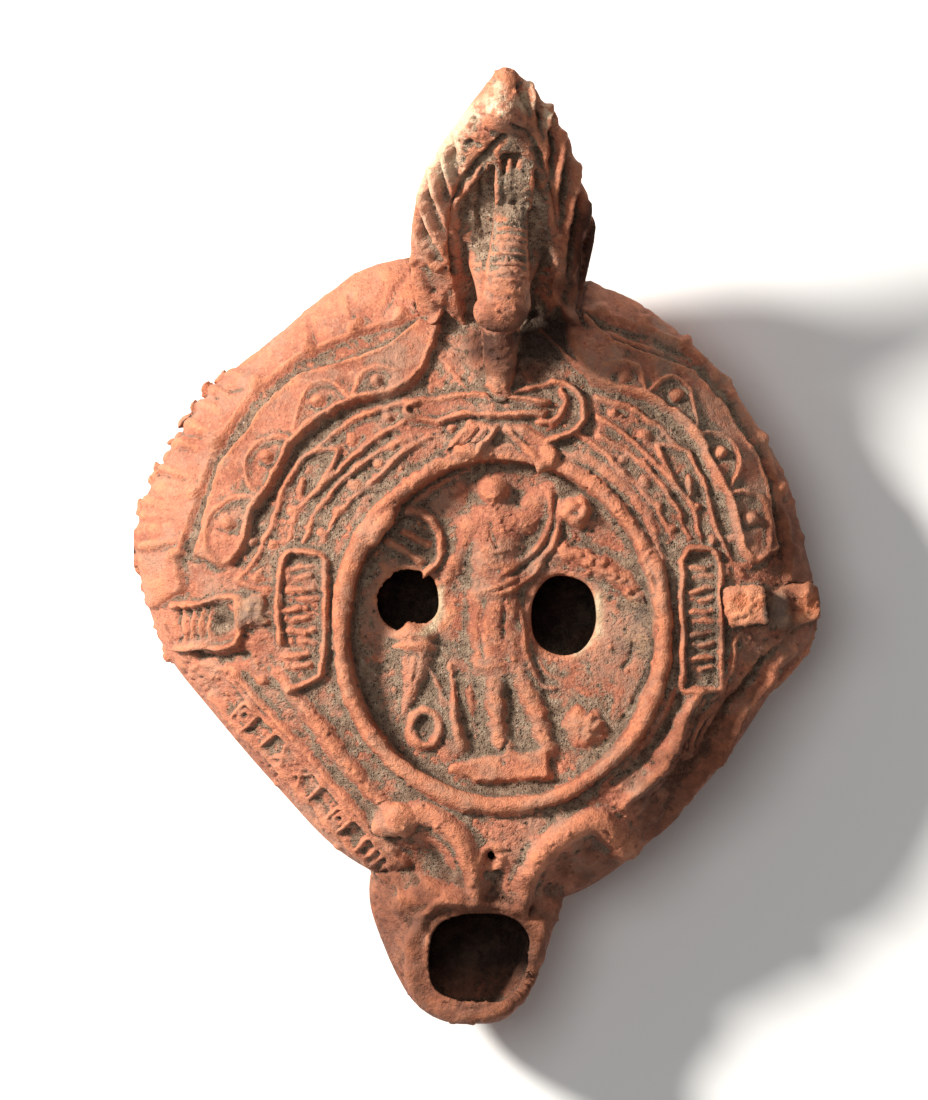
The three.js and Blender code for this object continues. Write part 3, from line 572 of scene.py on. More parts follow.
# %% [markdown]
# The forms are fused by a voxel remesh. It walks over the union of all of them in small cubes, so
# joints close and every edge turns slightly soft, as on clay that came out of a worn mould. The seam
# between body and nozzle and the two knobs are smoothed further, as a thumb would do it.

# %% Fusing the clay
VOXEL = 0.36
bpy.ops.object.select_all(action="DESELECT")
for form in forms:
    form.select_set(True)
bpy.context.view_layer.objects.active = body
bpy.ops.object.join()
lamp = body
lamp.name = "lamp_clay"


def apply(kind, **values):
    change = lamp.modifiers.new(kind.lower(), kind)
    for key, value in values.items():
        setattr(change, key, value)
    bpy.ops.object.modifier_apply(modifier=change.name)


alone(lamp)
apply("REMESH", mode="VOXEL", voxel_size=VOXEL)
apply("SMOOTH", factor=0.5, iterations=3)
points = get_points(lamp)
UPPER_HALF = 26
JOINT_Y, JOINT_REACH, KNOB_REACH = -50, 4.5, 7
upper = points[:, 2] > UPPER_HALF
joint = np.exp(-((points[:, 1] - JOINT_Y) / JOINT_REACH) ** 2) * (np.abs(points[:, 0] + 4) < 26) * upper
for _, spot, _ in KNOBS:
    off = np.hypot(*(points[:, :2] - place(*spot)).T) / KNOB_REACH
    joint = np.maximum(joint, 0.6 * np.exp(-(off**2)) * upper)
group = lamp.vertex_groups.new(name="joint")
for share in (0.25, 0.5, 0.75, 1.0):
    group.add(np.nonzero(joint > share - 0.25)[0].tolist(), share, "REPLACE")
apply("SMOOTH", factor=0.8, iterations=40, vertex_group="joint")
lamp.vertex_groups.clear()
print("fused clay:", len(lamp.data.vertices), "points")

# %% [markdown]
# Relief. In the real workshop a carver cut it into the mould, and the clay took it up when it was
# pressed in. Here it is drawn on a sheet, one cell for a step of the drawing, as heights in
# millimetres: ridges along lines, lumps, plates with an edge, and grooves.

# %% The relief sheet
ROWS, COLUMNS = VIEW_SIZE[1], VIEW_SIZE[0]
proud = np.zeros((ROWS, COLUMNS))
sunk = np.zeros((ROWS, COLUMNS))
plates = np.zeros((ROWS, COLUMNS))
mounds = np.zeros((ROWS, COLUMNS))


def near(points, reach):
    """The cells within reach of some points."""
    low = np.maximum(np.min(points, axis=0) - reach, 0).astype(int)
    high = np.minimum(np.max(points, axis=0) + reach + 2, VIEW_SIZE).astype(int)
    px, py = np.meshgrid(np.arange(low[0], high[0]), np.arange(low[1], high[1]))
    return (slice(low[1], high[1]), slice(low[0], high[0])), px, py


def press(sheet, points, half, height, closed=False, power=0.5):
    """Rounded ridge along a curve. Half widths in steps, heights in millimetres, may change along it."""
    line = curve_through(points, 12 * len(points), closed)
    if closed:
        line = np.vstack([line, line[:1]])
    share = np.linspace(0, 1, len(line))
    halves = np.interp(share, np.linspace(0, 1, np.size(half)), np.atleast_1d(half))
    heights = np.interp(share, np.linspace(0, 1, np.size(height)), np.atleast_1d(height))
    for a, b, wide, tall in zip(line[:-1], line[1:], halves, heights):
        cells, px, py = near((a, b), wide + 1)
        run = b - a
        t = np.clip(((px - a[0]) * run[0] + (py - a[1]) * run[1]) / (run @ run + 1e-9), 0, 1)
        off = np.hypot(px - a[0] - t * run[0], py - a[1] - t * run[1]) / wide
        sheet[cells] = np.maximum(sheet[cells], tall * np.clip(1 - off**2, 0, 1) ** power)


def ridge(points, half=3.0, height=0.8, **more):
    press(proud, points, half, height, **more)


def swell(points, half, height, power=1.1):
    press(mounds, points, half, height, power=power)


def groove(points, half=3.0, depth=0.8, **more):
    press(sunk, points, half, depth, **more)


def lump(px, py, wide, long=None, height=1.0, turn=0.0, sheet=None, power=0.5):
    """Oval lump; the turn is in degrees."""
    sheet = proud if sheet is None else sheet
    long = wide if long is None else long
    reach = max(wide, long)
    cells, x, y = near([(px, py)], reach + 1)
    c, s = math.cos(math.radians(turn)), math.sin(math.radians(turn))
    u, v = (x - px) * c + (y - py) * s, (y - py) * c - (x - px) * s
    off = (u / wide) ** 2 + (v / long) ** 2
    sheet[cells] = np.maximum(sheet[cells], height * np.clip(1 - off, 0, 1) ** power)


def strew(count, *patches, sheet=None):
    """Random lumps. A patch gives the range of each: across, down, half width, half length, height, turn."""
    for _ in range(count):
        for spans in patches:
            lump(*(rng.uniform(*span) for span in spans), sheet=sheet)


def inside(points, px, py):
    """Which cells lie inside an outline."""
    hit = np.zeros(px.shape, bool)
    for (x0, y0), (x1, y1) in zip(points, np.roll(points, -1, axis=0)):
        if y0 != y1:
            crosses = (y0 > py) != (y1 > py)
            hit ^= crosses & (px < (x1 - x0) * (py - y0) / (y1 - y0) + x0)
    return hit


def plate(points, height, smooth=True):
    """Flat area raised, or sunk where the height is negative, over an outline."""
    points = np.array(points, float)
    if smooth:
        points = curve_through(points, 6 * len(points), closed=True)
    cells, px, py = near(points, 1)
    plates[cells] += height * inside(points, px, py)


def blurred(sheet, reach):
    rows = np.fft.fftfreq(sheet.shape[0])[:, None]
    columns = np.fft.rfftfreq(sheet.shape[1])[None, :]
    keep = np.exp(-2 * (math.pi * reach) ** 2 * (rows**2 + columns**2))
    return np.fft.irfft2(np.fft.rfft2(sheet) * keep, sheet.shape)


rng = np.random.default_rng(31)
ANY_TURN = (0, 180)
print("sheet:", COLUMNS, "by", ROWS, "cells of", round(PITCH, 3), "mm")

# %% [markdown]
# The shoulder behind the disc carries two winged bands that meet under the handle. The left one is
# drawn, and the right one is its mirror image, drawn in a little because the lamp is narrower there.

# %% Winged bands
def same(points):
    return points


def across(points):
    """Mirror a run of places to the right half."""
    moved = []
    for px, py in points:
        out = DISC_MIDDLE[0] - px
        moved.append((DISC_MIDDLE[0] + out * (1.025 - 0.00044 * out), py - 4))
    return moved


BOLD_EDGE = [(442, 309), (437, 335), (429, 358), (415, 380), (399, 391), (369, 398), (347, 406),
             (325, 418), (304, 434), (293, 447), (282, 466), (269, 490), (256, 508), (250, 525),
             (243, 547), (232, 562), (221, 566)]
STEP_EDGE = [(442, 314), (395, 325), (360, 335), (330, 347), (303, 361), (280, 378), (262, 392),
             (250, 404), (238, 421), (226, 440), (214, 460), (202, 494), (190, 525), (181, 556),
             (184, 590)]
THIN_RIDGE = [(420, 323), (389, 348), (347, 363), (303, 378), (282, 396), (260, 418), (238, 447),
              (223, 464), (217, 481), (210, 501), (204, 529), (196, 555)]
FEATHERS = [[(405, 402), (369, 413), (347, 425), (332, 436), (317, 449)],
            [(340, 449), (321, 450), (308, 455), (301, 462), (290, 479), (282, 492), (277, 512),
             (269, 531), (260, 549), (251, 566), (238, 579)],
            [(340, 449), (332, 466), (321, 484), (304, 503)], [(303, 481), (301, 499)],
            [(404, 422), (379, 436), (358, 453), (336, 473), (319, 488), (301, 507), (294, 520),
             (289, 540)],
            [(404, 441), (380, 452), (360, 466), (342, 481), (327, 499), (314, 516), (308, 533),
             (303, 542)],
            [(430, 436), (400, 455), (382, 473), (358, 494), (342, 510), (332, 525), (323, 540)]]
DOTS = [(388, 417, 4), (352, 439, 6), (378, 463, 5), (355, 486, 7), (339, 510, 5), (322, 532, 4),
        (292, 511, 4), (274, 544, 4), (251, 542, 5), (258, 576, 5), (401, 442, 4), (452, 429, 4)]
LOBES = [
    ((378, 383), [(399, 372), (379, 369), (364, 377), (357, 390), (355, 400)]),
    ((320, 402), [(353, 400), (338, 387), (325, 384), (314, 389), (306, 399), (300, 416), (296, 432)]),
    ((269, 458), [(291, 441), (279, 439), (264, 443), (254, 453), (248, 470), (250, 481), (257, 492)]),
    ((230, 524), [(256, 499), (241, 498), (225, 503), (215, 514), (209, 531), (210, 551), (219, 564)]),
]
BOSSES = [(402, 318), (357, 329), (313, 351), (260, 387), (219, 445), (197, 495), (178, 555)]

for side in (same, across):
    band = side(THIN_RIDGE) + side(BOLD_EDGE)[::-1]
    plate(band, 1.7, smooth=False)
    rim_run = side([(405, 240), (385, 255), (340, 285), (300, 315), (260, 350), (217, 379), (185, 420),
                    (160, 455), (135, 500), (128, 540), (140, 580), (150, 610)])
    plate(rim_run + side(STEP_EDGE)[::-1], 1.3, smooth=False)
    inner = side([(442, 309), (470, 330), (470, 395), (405, 400), (402, 424), (330, 560), (262, 580),
                  (232, 566)])
    plate(side(BOLD_EDGE) + inner[::-1], -0.5, smooth=False)
    ridge(side(BOLD_EDGE), [2.5, 4.2, 5, 5, 4.6, 4.2, 3], [0.9, 1.3, 1.5, 1.4, 1.2, 0.9])
    ridge(side(STEP_EDGE), 3.4, [0.6, 0.9, 0.8, 0.7])
    ridge(side(THIN_RIDGE), [2.4, 2.8, 2.6, 2.4], 1.0)
    for run in FEATHERS:
        ridge(side(run), [2.6, 2.9, 2.0], [1.2, 1.25, 0.8])
    for px, py, wide in DOTS:
        lump(*side([(px, py)])[0], wide, height=1.2)
    for dot, arc in LOBES:
        ridge(side(arc), [2.0, 2.4, 2.2, 1.8], 1.0)
        lump(*side([dot])[0], 5.6, height=1.3)
        groove(side([(dot[0] - 6, dot[1] + 7), (dot[0] + 8, dot[1] + 9), (dot[0] + 11, dot[1] - 2)]), 3,
               0.5)
    for px, py in BOSSES:
        lump(*side([(px, py)])[0], 9, 7, 1.5, turn=-40 if side is same else 40, power=0.8)
    for start, end in (((420, 262), (398, 291)), ((398, 291), (385, 318)), ((352, 300), (357, 326)),
                       ((312, 322), (318, 350)), ((245, 392), (222, 400)), ((205, 440), (185, 436)),
                       ((186, 480), (160, 476)), ((176, 520), (140, 522))):
        groove(side([start, end]), 3.0, 0.5)
    for start, end in (((252, 384), (228, 376)), ((237, 400), (212, 390)), ((226, 420), (199, 407)),
                       ((215, 436), (186, 426)), ((205, 455), (174, 446)), ((196, 478), (158, 466)),
                       ((186, 512), (140, 500)), ((178, 540), (136, 545))):
        fade = chance.uniform(0.5, 1.2, 3)
        middle = (0.5 * (start[0] + end[0]) + chance.uniform(-3, 3), 0.5 * (start[1] + end[1]) +
                  chance.uniform(-3, 3))
        ridge(side([start, middle, end]), [2.5, 5.5, 6], fade * (0.3, 1.1, 1.5), power=0.8)
print("bands pressed")

# %% [markdown]
# The disc. Its round moulding frames a standing draped figure between a round drum, a cone, a wreath
# and an animal's mask. Nothing of the head's features is left: it is a worn, calm ball of clay.

# %% Frame of the disc
ridge([(440, 461), (406, 487), (378, 510), (360, 537), (349, 560), (341, 590), (340, 630), (343, 670),
       (352, 705), (370, 737), (395, 763), (425, 782), (455, 796), (490, 803), (530, 802), (565, 793),
       (600, 770), (630, 745), (650, 715), (661, 680), (665, 640), (663, 590), (657, 545), (645, 512),
       (620, 484), (592, 463), (563, 454)], [4, 7, 8, 8, 8, 7, 6], [0.5, 0.9, 1.1, 0.9], power=1.0)
ridge([(471, 469), (443, 482), (415, 502), (396, 520)], 2.4, 0.9)
swell([(280, 672), (296, 696), (319, 724), (343, 757), (368, 786), (388, 806)], [6, 9, 10, 10, 9, 8],
      [1.2, 2.2, 2.4, 2.4, 2.2, 1.8])
ridge([(448, 366), (466, 390)], 2.2, 0.9)

# %% The figure
lump(494, 490, 27, 24, 1.5, sheet=mounds, power=1.2)
lump(494, 490, 17, 17, 4.2, sheet=mounds, power=0.7)
swell([(494, 500), (496, 520)], [11, 18], [2.4, 2.4])
swell([(470, 528), (496, 521), (523, 520)], [15, 22, 17], [1.8, 2.8, 2.2], power=1.0)
swell([(497, 522), (495, 552), (494, 588)], [32, 29, 25], [2.8, 3.3, 2.7], power=1.0)
swell([(494, 588), (495, 625), (496, 664)], [26, 28, 26], [2.8, 3.3, 2.6], power=0.8)
swell([(495, 655), (496, 700), (500, 740), (508, 748)], [15, 12, 10, 9], [2.6, 2.5, 2.1, 1.7], power=0.8)
swell([(508, 640), (520, 675), (535, 708), (545, 742), (550, 749)], [18, 15, 12, 10, 9],
      [2.9, 2.8, 2.4, 2.1, 1.7], power=0.8)
swell([(516, 522), (532, 508), (547, 494)], [16, 18, 15], [1.9, 1.6, 1.0])
swell([(470, 532), (460, 552), (451, 570), (446, 580)], [12, 10, 9, 6], [1.6, 1.4, 1.2, 0.9])
swell([(448, 705), (452, 745)], [14, 20], [0.7, 1.2])
for run, half, tall in (([(551, 492), (550, 522), (539, 546), (519, 563), (500, 576)], [4, 5, 5.5, 5, 4],
                         [1.0, 1.7, 1.6, 1.1, 0.4]),
                        ([(560, 500), (557, 532), (545, 556), (527, 571), (508, 584)], [4, 5, 6, 5.5, 4],
                         [1.2, 2.0, 1.9, 1.3, 0.4]),
                        ([(543, 563), (532, 575), (512, 589), (488, 596)], [3.5, 4.5, 4, 3],
                         [1.7, 1.7, 1.1, 0.4]),
                        ([(474, 594), (492, 588), (514, 580)], [3, 4, 3.5], [0.6, 1.1, 1.1]),
                        ([(477, 540), (497, 551), (520, 545)], [3, 4, 3], [0.2, 0.6, 0.3]),
                        ([(482, 561), (500, 566), (519, 560)], [2.5, 3, 2.5], [0.2, 0.5, 0.3]),
                        ([(522, 612), (527, 650), (540, 682), (553, 688)], [3.2, 4, 4, 3],
                         [0.9, 1.4, 1.2, 0.5]),
                        ([(534, 650), (542, 668), (552, 676)], [2.5, 3, 2.5], [0.4, 0.8, 0.4]),
                        ([(470, 660), (486, 668), (506, 663)], [2.5, 3.5, 2.5], [0.3, 0.7, 0.3]),
                        ([(451, 666), (454, 700), (457, 728), (463, 744)], [2.5, 4, 7, 8],
                         [1.1, 1.5, 1.6, 1.0]),
                        ([(431, 672), (437, 684), (443, 704)], [2.5, 3.5, 2.5], [0.6, 1.0, 0.5]),
                        ([(468, 672), (471, 700), (474, 728)], [2, 3, 2], [0.3, 0.7, 0.3])):
    ridge(run, half, tall, power=1.2)
for run, half in (([(484, 600), (480, 630), (483, 658)], [3, 4.5, 2]), ([(504, 600), (503, 640)], [3, 2]),
                  ([(490, 524), (497, 548)], [2.5, 2]), ([(507, 741), (503, 750), (503, 764)], [1.8, 2])):
    groove(run, half, 0.7, power=1.0)
plate([(450, 768), (475, 758), (500, 754), (547, 750), (550, 777), (478, 781)], 2.0, smooth=False)
ridge([(452, 770), (478, 780), (514, 780), (549, 776)], 3.0, 0.8)

# %% Things round the figure
ridge([(375, 552), (371, 540), (380, 523), (397, 513), (415, 511), (432, 522), (440, 539), (438, 560),
       (428, 572)], [3.5, 4.5, 5, 5, 5, 4.5, 3.5], [1.2, 1.9, 2.1, 2.1, 1.8])
ridge([(404, 532), (416, 538), (428, 545)], 3.6, 1.3)
ridge([(388, 541), (405, 551), (421, 561)], 3.8, 1.3)
ridge([(396, 636), (414, 634), (433, 637)], 4.2, 0.9)
ridge([(396, 646), (414, 645), (434, 648)], 4.2, 0.9)
swell([(416, 640), (416, 660), (412, 685), (405, 712)], [20, 18, 10, 4], [2.2, 2.5, 1.9, 1.0], power=0.9)
for start, end in (((409, 656), (407, 694)), ((418, 656), (412, 690))):
    groove([start, end], 1.8, 0.5)
ridge([(424 + 14 * math.cos(a), 728 + 17 * math.sin(a))
       for a in np.linspace(0, 2 * math.pi, 10, endpoint=False)], 6.0, 1.9, closed=True)
for a in np.linspace(0, 2 * math.pi, 9, endpoint=False):
    lump(424 + 15 * math.cos(a), 728 + 18 * math.sin(a), 4, 3.2, 2.4, math.degrees(a))
lump(575, 512, 20, 20, 1.6, sheet=mounds, power=0.9)
swell([(560, 550), (590, 562), (622, 578), (642, 602)], [10, 14, 15, 10], [0.9, 1.2, 1.2, 0.8])
for px, py, wide, long, tall in ((571, 505, 9, 7, 1.9), (584, 512, 7, 8, 2.2), (574, 519, 8, 6, 1.6),
                                 (566, 513, 6, 8, 2.0), (582, 500, 6, 5, 1.5), (580, 524, 6, 4, 1.2)):
    lump(px, py, wide, long, tall, 30)
for number, (px, py) in enumerate([(566, 552), (579, 556), (590, 563), (603, 562), (612, 571), (626, 574),
                                   (634, 585), (645, 598), (600, 574), (618, 584)]):
    lump(px, py, 8, 5, 1.1 - 0.04 * number, 25 + 31 * number, power=0.8)
for _ in range(60):
    share = rng.uniform(0, 1)
    lump(558 + 88 * share + rng.uniform(-8, 8), 550 + 50 * share**1.3 + rng.uniform(-9, 9),
         rng.uniform(2.5, 5.5), rng.uniform(1.8, 3.2), rng.uniform(0.5, 1.4), rng.uniform(0, 180))
lump(583, 726, 24, 23, 2.2, 20, sheet=mounds, power=0.9)
for _ in range(22):
    turn, far = rng.uniform(0, 2 * math.pi), 17 * math.sqrt(rng.uniform(0, 1))
    lump(583 + far * math.cos(turn), 726 + far * math.sin(turn), rng.uniform(3, 7), rng.uniform(2.5, 4.5),
         rng.uniform(0.4, 1.2), rng.uniform(0, 180))
for run in ([(657, 619), (650, 656), (638, 690), (620, 722)], [(634, 640), (628, 660), (622, 668)],
            [(646, 560), (656, 590)]):
    groove(run, [1.6, 2.6, 1.6], 0.8)
ridge([(623, 639), (617, 680), (611, 726)], 1.2, 0.35)
for px, py in ((640, 560), (635, 640), (616, 611), (456, 600), (470, 610), (380, 660), (395, 690)):
    lump(px, py, 3, 2.4, 0.8, px)
print("disc pressed")

# %% [markdown]
# The ribbon that hangs from the handle's neck over the disc's moulding: two loops and two ends.

# %% Ribbon
LOOP = [(447, 398), (412, 403), (406, 411), (414, 418), (438, 421), (464, 415), (501, 416), (545, 415)]
plate([(412, 404), (478, 397), (545, 404), (545, 415), (464, 414), (414, 417)], 0.8, smooth=False)
plate([(469, 421), (452, 443), (447, 453), (476, 457), (489, 444), (498, 427)], 1.9, smooth=False)
plate([(506, 427), (522, 447), (543, 467), (555, 463), (554, 449), (540, 435), (522, 427)], 1.9,
      smooth=False)
for run, half, tall in ((LOOP, 3.0, 1.9), ([(447, 398), (478, 395), (519, 399), (548, 404)], 3.0, 1.9),
                        ([(538, 423), (556, 420), (565, 403), (560, 390)], 3.0, 1.8),
                        ([(549, 440), (567, 435), (580, 426), (584, 412), (579, 397), (567, 386),
                          (552, 381)], 3.6, 2.4),
                        ([(490, 398), (520, 391), (556, 383)], 2.6, 1.4),
                        ([(469, 421), (447, 453)], 2.4, 0.9), ([(447, 453), (477, 457)], 2.4, 0.9),
                        ([(498, 427), (477, 457)], 2.4, 0.9),
                        ([(506, 427), (522, 447), (544, 467)], 2.6, 1.0),
                        ([(522, 427), (541, 435), (555, 450), (555, 463), (546, 468)], 2.6, 1.0),
                        ([(540, 330), (561, 352), (592, 381)], 3.0, 1.4),
                        ([(556, 300), (573, 318), (615, 338), (660, 355)], 3.0, 1.0)):
    ridge(run, half, tall)
for run in ([(480, 428), (463, 450)], [(489, 430), (473, 453)], [(516, 433), (542, 458)]):
    groove(run, 2.0, 0.8)
strew(40, ((462, 530), (378, 432), (2, 5), (2, 4), (0.2, 0.7)))
strew(34, ((722, 768), (588, 624), (2, 6), (2, 5), (0.2, 0.7), ANY_TURN),
      ((782, 822), (588, 620), (2, 5), (2, 5), (0.2, 0.8), ANY_TURN))
print("ribbon pressed")

# %% [markdown]
# Two framed panels stand beside the disc. On the real lamp they hold raised lettering. Here short
# bars that spell nothing stand in the same rows.

# %% Framed panels
def framed_panel(frame_runs, rows, seed):
    for run in frame_runs:
        ridge(run, 3.4, 1.9)
    rng = np.random.default_rng(seed)
    for px, py, reach in rows:
        shift = rng.uniform(-2, 2)
        ridge([(px - reach, py + shift), (px + 0.3 * reach, py - shift)], 3.6, 1.3, power=0.8)
        ridge([(px - 0.2 * reach, py + 9 + shift), (px + reach, py + 9 - shift)], 3.2, 1.1, power=0.8)
        lump(px + 0.8 * reach, py - 2, 4, 3.4, 1.1, power=0.8)
        lump(px - 0.8 * reach, py + 9, 3.6, 3, 0.9, power=0.8)


framed_panel([[(281, 642), (278, 600), (283, 560)], [(283, 560), (292, 552), (317, 553), (325, 560)],
              [(325, 560), (325, 620), (321, 675)], [(321, 675), (305, 684), (291, 689)]],
             [(299, 568, 11), (302, 590, 13), (296, 610, 12), (302, 632, 13), (298, 656, 12)], 4)
framed_panel([[(682, 640), (682, 560)], [(682, 560), (690, 549), (712, 550)],
              [(712, 550), (719, 566), (720, 640)], [(720, 640), (720, 686)], [(720, 688), (684, 691)],
              [(683, 689), (682, 640)]],
             [(701, 568, 11), (701, 590, 11), (702, 612, 11), (701, 634, 11), (702, 658, 11)], 8)
print("panels pressed")

# %% [markdown]
# The lugs' carving, the outer bands in front of them, and the border of key and lattice panels that
# runs down the left wall to the nozzle.

# %% Lugs and borders
for px in (182, 191, 200, 208):
    groove([(px, 606), (px - 4, 622), (px - 2, 640)], 2.0, 1.2)
lump(221, 621, 15, 19, 3.6, sheet=sunk, power=0.8)
ridge([(174, 604), (190, 606), (206, 603), (222, 598), (240, 598)], 3.2, 1.7)
ridge([(237, 600), (240, 625), (238, 641)], 3.4, 1.6)
ridge([(178, 646), (206, 645), (222, 648), (238, 643)], 3.4, 1.8)
strew(30, ((238, 268), (595, 627), (2, 5), (2, 4), (0.3, 0.9)))
strew(26, ((176, 270), (652, 682), (2, 7), (2, 4), (0.3, 1.1)))
groove([(196, 656), (222, 660), (246, 654)], 5, 1.4)
ridge([(236, 580), (250, 586), (270, 590)], 2.4, 0.8)
ridge([(722, 566), (752, 562), (772, 548)], 3, 1.0)
swell([(700, 690), (685, 712), (675, 740), (659, 768), (639, 787), (620, 804)], [4, 6, 7.5, 7.5, 7, 5],
      [1.8, 3.0, 3.4, 3.4, 3.0, 1.8], power=0.9)
groove([(692, 668), (678, 702), (664, 730), (640, 760), (612, 784)], [4, 6, 7, 6, 4],
       [0.6, 1.3, 1.5, 1.3, 0.6])
groove([(716, 694), (700, 730), (684, 768), (662, 798), (640, 818)], [5, 8, 8, 8, 5],
       [0.6, 1.3, 1.5, 1.3, 0.6])
ridge([(792, 648), (768, 665), (753, 689), (732, 719), (714, 752), (690, 782), (672, 815), (647, 838)],
      [3, 4, 4, 4.5, 4.5, 4, 4, 3], [1.4, 2.6, 3.0, 3.0, 3.0, 2.8, 2.2, 1.2])
groove([(786, 640), (760, 664), (744, 689), (723, 719), (705, 750), (682, 780), (664, 812)],
       [3, 5, 6, 6, 6, 5, 3], [0.5, 1.0, 1.3, 1.3, 1.3, 1.0, 0.5])
ridge([(735, 640), (728, 672), (713, 700)], 3.0, 1.2)
ridge([(717, 705), (703, 722), (694, 741), (688, 756)], 3.0, 1.5)
strew(9, ((679, 693), (745, 759), (3, 6), (2.5, 4), (0.9, 2.2), ANY_TURN))

BORDER_FROM, BORDER_TO = np.array((222.0, 686.0)), np.array((393.0, 872.0))
BORDER_RUN = (BORDER_TO - BORDER_FROM) / np.linalg.norm(BORDER_TO - BORDER_FROM)
BORDER_OUT = np.array((-BORDER_RUN[1], BORDER_RUN[0]))


def border(share, out):
    return tuple(BORDER_FROM + (BORDER_TO - BORDER_FROM) * share + BORDER_OUT * out)


for out, wide, tall in ((-19, 3.6, 1.6), (-12, 3.0, 1.3), (12, 3.6, 1.5)):
    ridge([border(s, out * (1 - 0.12 * s)) for s in (0, 0.25, 0.5, 0.75, 1)], wide, tall)
span = np.linalg.norm(BORDER_TO - BORDER_FROM)
for middle in (0.15, 0.70):
    for half, tall in ((9, 1.5), (4, 1.2)):
        corners = [(-1, -1), (1, -1), (1, 1), (-1, 1), (-1, -1)]
        for (u0, v0), (u1, v1) in zip(corners[:-1], corners[1:]):
            ridge([border(middle + u0 * half / span, v0 * half),
                   border(middle + u1 * half / span, v1 * half)], 2.4, tall)
for u in (-12, -4, 4, 12):
    ridge([border(0.42 + (u - 7) / span, -8), border(0.42 + (u + 7) / span, 8)], 2.2, 1.2)
    ridge([border(0.42 + (u + 7) / span, -8), border(0.42 + (u - 7) / span, 8)], 2.2, 1.2)
for middle in (0.28, 0.56, 0.83):
    ridge([border(middle, -10), border(middle, 10)], 2.6, 1.3)
for middle in (0.88, 0.92, 0.96, 1.0):
    ridge([border(middle, -9), border(middle, 9)], 2.2, 1.2)
for px, py in ((274, 786), (337, 848)):
    lump(px, py, 5, 5, 1.6)
print("border pressed")

# %% [markdown]
# The nozzle: two ribs that end in volutes, the ring of the air hole, a channel, and the thick collar
# round the wick hole, which is chipped where wicks were trimmed.

# %% Nozzle carving
swell([(400, 818), (424, 812), (446, 824), (464, 844), (474, 872), (474, 900)], [16, 13, 12, 12, 12, 10],
      [2.6, 2.6, 2.8, 3.0, 2.8, 2.2], power=0.8)
swell([(622, 842), (598, 822), (572, 828), (546, 846), (527, 874), (521, 902)], [16, 14, 13, 13, 12, 10],
      [2.6, 2.8, 3.0, 3.0, 2.8, 2.2], power=0.8)
swell([(400, 905), (430, 892), (462, 895)], [10, 16, 12], [1.6, 2.6, 2.4], power=0.9)
swell([(560, 902), (548, 914), (540, 930)], [12, 12, 10], [1.4, 1.8, 1.6], power=0.9)
groove([(412, 848), (432, 862), (444, 880)], [14, 18, 12], [1.2, 2.0, 1.0], power=1.2)
groove([(600, 850), (574, 866), (556, 890)], [14, 20, 14], [1.2, 2.2, 1.2], power=1.2)
ridge([(386, 842), (394, 870), (406, 896), (416, 914)], [3, 4, 4, 3], [0.8, 1.3, 1.3, 0.8])
ridge([(492 + 11 * math.cos(a), 856 + 11 * math.sin(a))
       for a in np.linspace(0, 2 * math.pi, 8, endpoint=False)], 3.6, 0.7, closed=True)
groove([(497, 876), (497, 895), (497, 912)], [7, 9, 10], 0.9)
ridge([(428, 912), (446, 902), (470, 905), (500, 906), (522, 912), (536, 922)], [6, 7, 6, 5, 5, 5],
      [1.6, 2.0, 1.3, 1.0, 1.4, 1.4], power=0.8)
ridge([(424, 915), (414, 940), (415, 970), (426, 998), (448, 1012), (480, 1015), (506, 1006), (524, 988),
       (535, 960), (537, 935), (532, 918)], [8, 9, 8, 7, 7, 6, 6, 6, 7], [1.7, 2.1, 1.8, 1.6, 1.5, 1.7],
      power=0.8)
for px, py, wide, deep in ((478, 1018, 3, 1.6), (531, 912, 5, 1.0), (418, 925, 6, 0.8),
                           (512, 1004, 4, 0.6), (440, 1012, 4, 0.5)):
    lump(px, py, wide, 1.3 * wide, deep, 20, sheet=sunk)
groove([(410, 870), (425, 895)], 5, 0.8)
groove([(560, 868), (552, 895)], 5, 0.8)
print("nozzle pressed")

# %% [markdown]
# The leaf of the handle: slanted flutes on the left edge, deep scallops on the right, and the pits of
# a clay that trapped bits of straw.

# %% Leaf carving
for run in ([(434, 158), (440, 182), (450, 208)], [(422, 178), (430, 208), (446, 240)],
            [(413, 204), (422, 234), (440, 262)], [(448, 138), (452, 160), (459, 182)]):
    groove(run, [3.5, 6, 4], [1.2, 2.1, 0.9], power=0.9)
for run in ([(429, 168), (436, 196), (450, 226)], [(417, 192), (427, 222), (444, 252)],
            [(441, 146), (446, 172), (455, 196)], [(411, 218), (420, 246), (436, 272)]):
    ridge(run, [2.6, 4, 2.6], [0.5, 1.2, 0.5], power=0.8)
for run in ([(519, 74), (524, 96), (530, 118)], [(538, 94), (540, 118), (546, 142)],
            [(556, 116), (553, 146), (552, 182)], [(570, 146), (565, 186), (560, 234)],
            [(583, 184), (576, 226), (569, 280)], [(593, 222), (585, 264), (576, 312)]):
    groove(run, [5, 7, 6, 3.5], [2.2, 3.0, 2.4, 1.0], power=0.8)
for run in ([(529, 80), (532, 104), (538, 128)], [(548, 104), (547, 130), (549, 160)],
            [(564, 130), (560, 164), (556, 208)], [(578, 166), (571, 206), (565, 256)],
            [(589, 204), (581, 246), (573, 296)]):
    ridge(run, [3, 4.5, 3], [0.8, 1.5, 0.6], power=0.8)
groove([(503, 139), (492, 150), (476, 168), (460, 190), (453, 215), (451, 245), (456, 275)],
       [3, 4, 4, 4, 4, 3, 2.5], 1.8)
strew(110, ((450, 560), (75, 300), (1.5, 5), (1.5, 3.5), (0.15, 0.6), ANY_TURN), sheet=sunk)
groove([(536, 152), (545, 180), (552, 206), (556, 236)], [3.5, 4, 4, 3], 1.4)
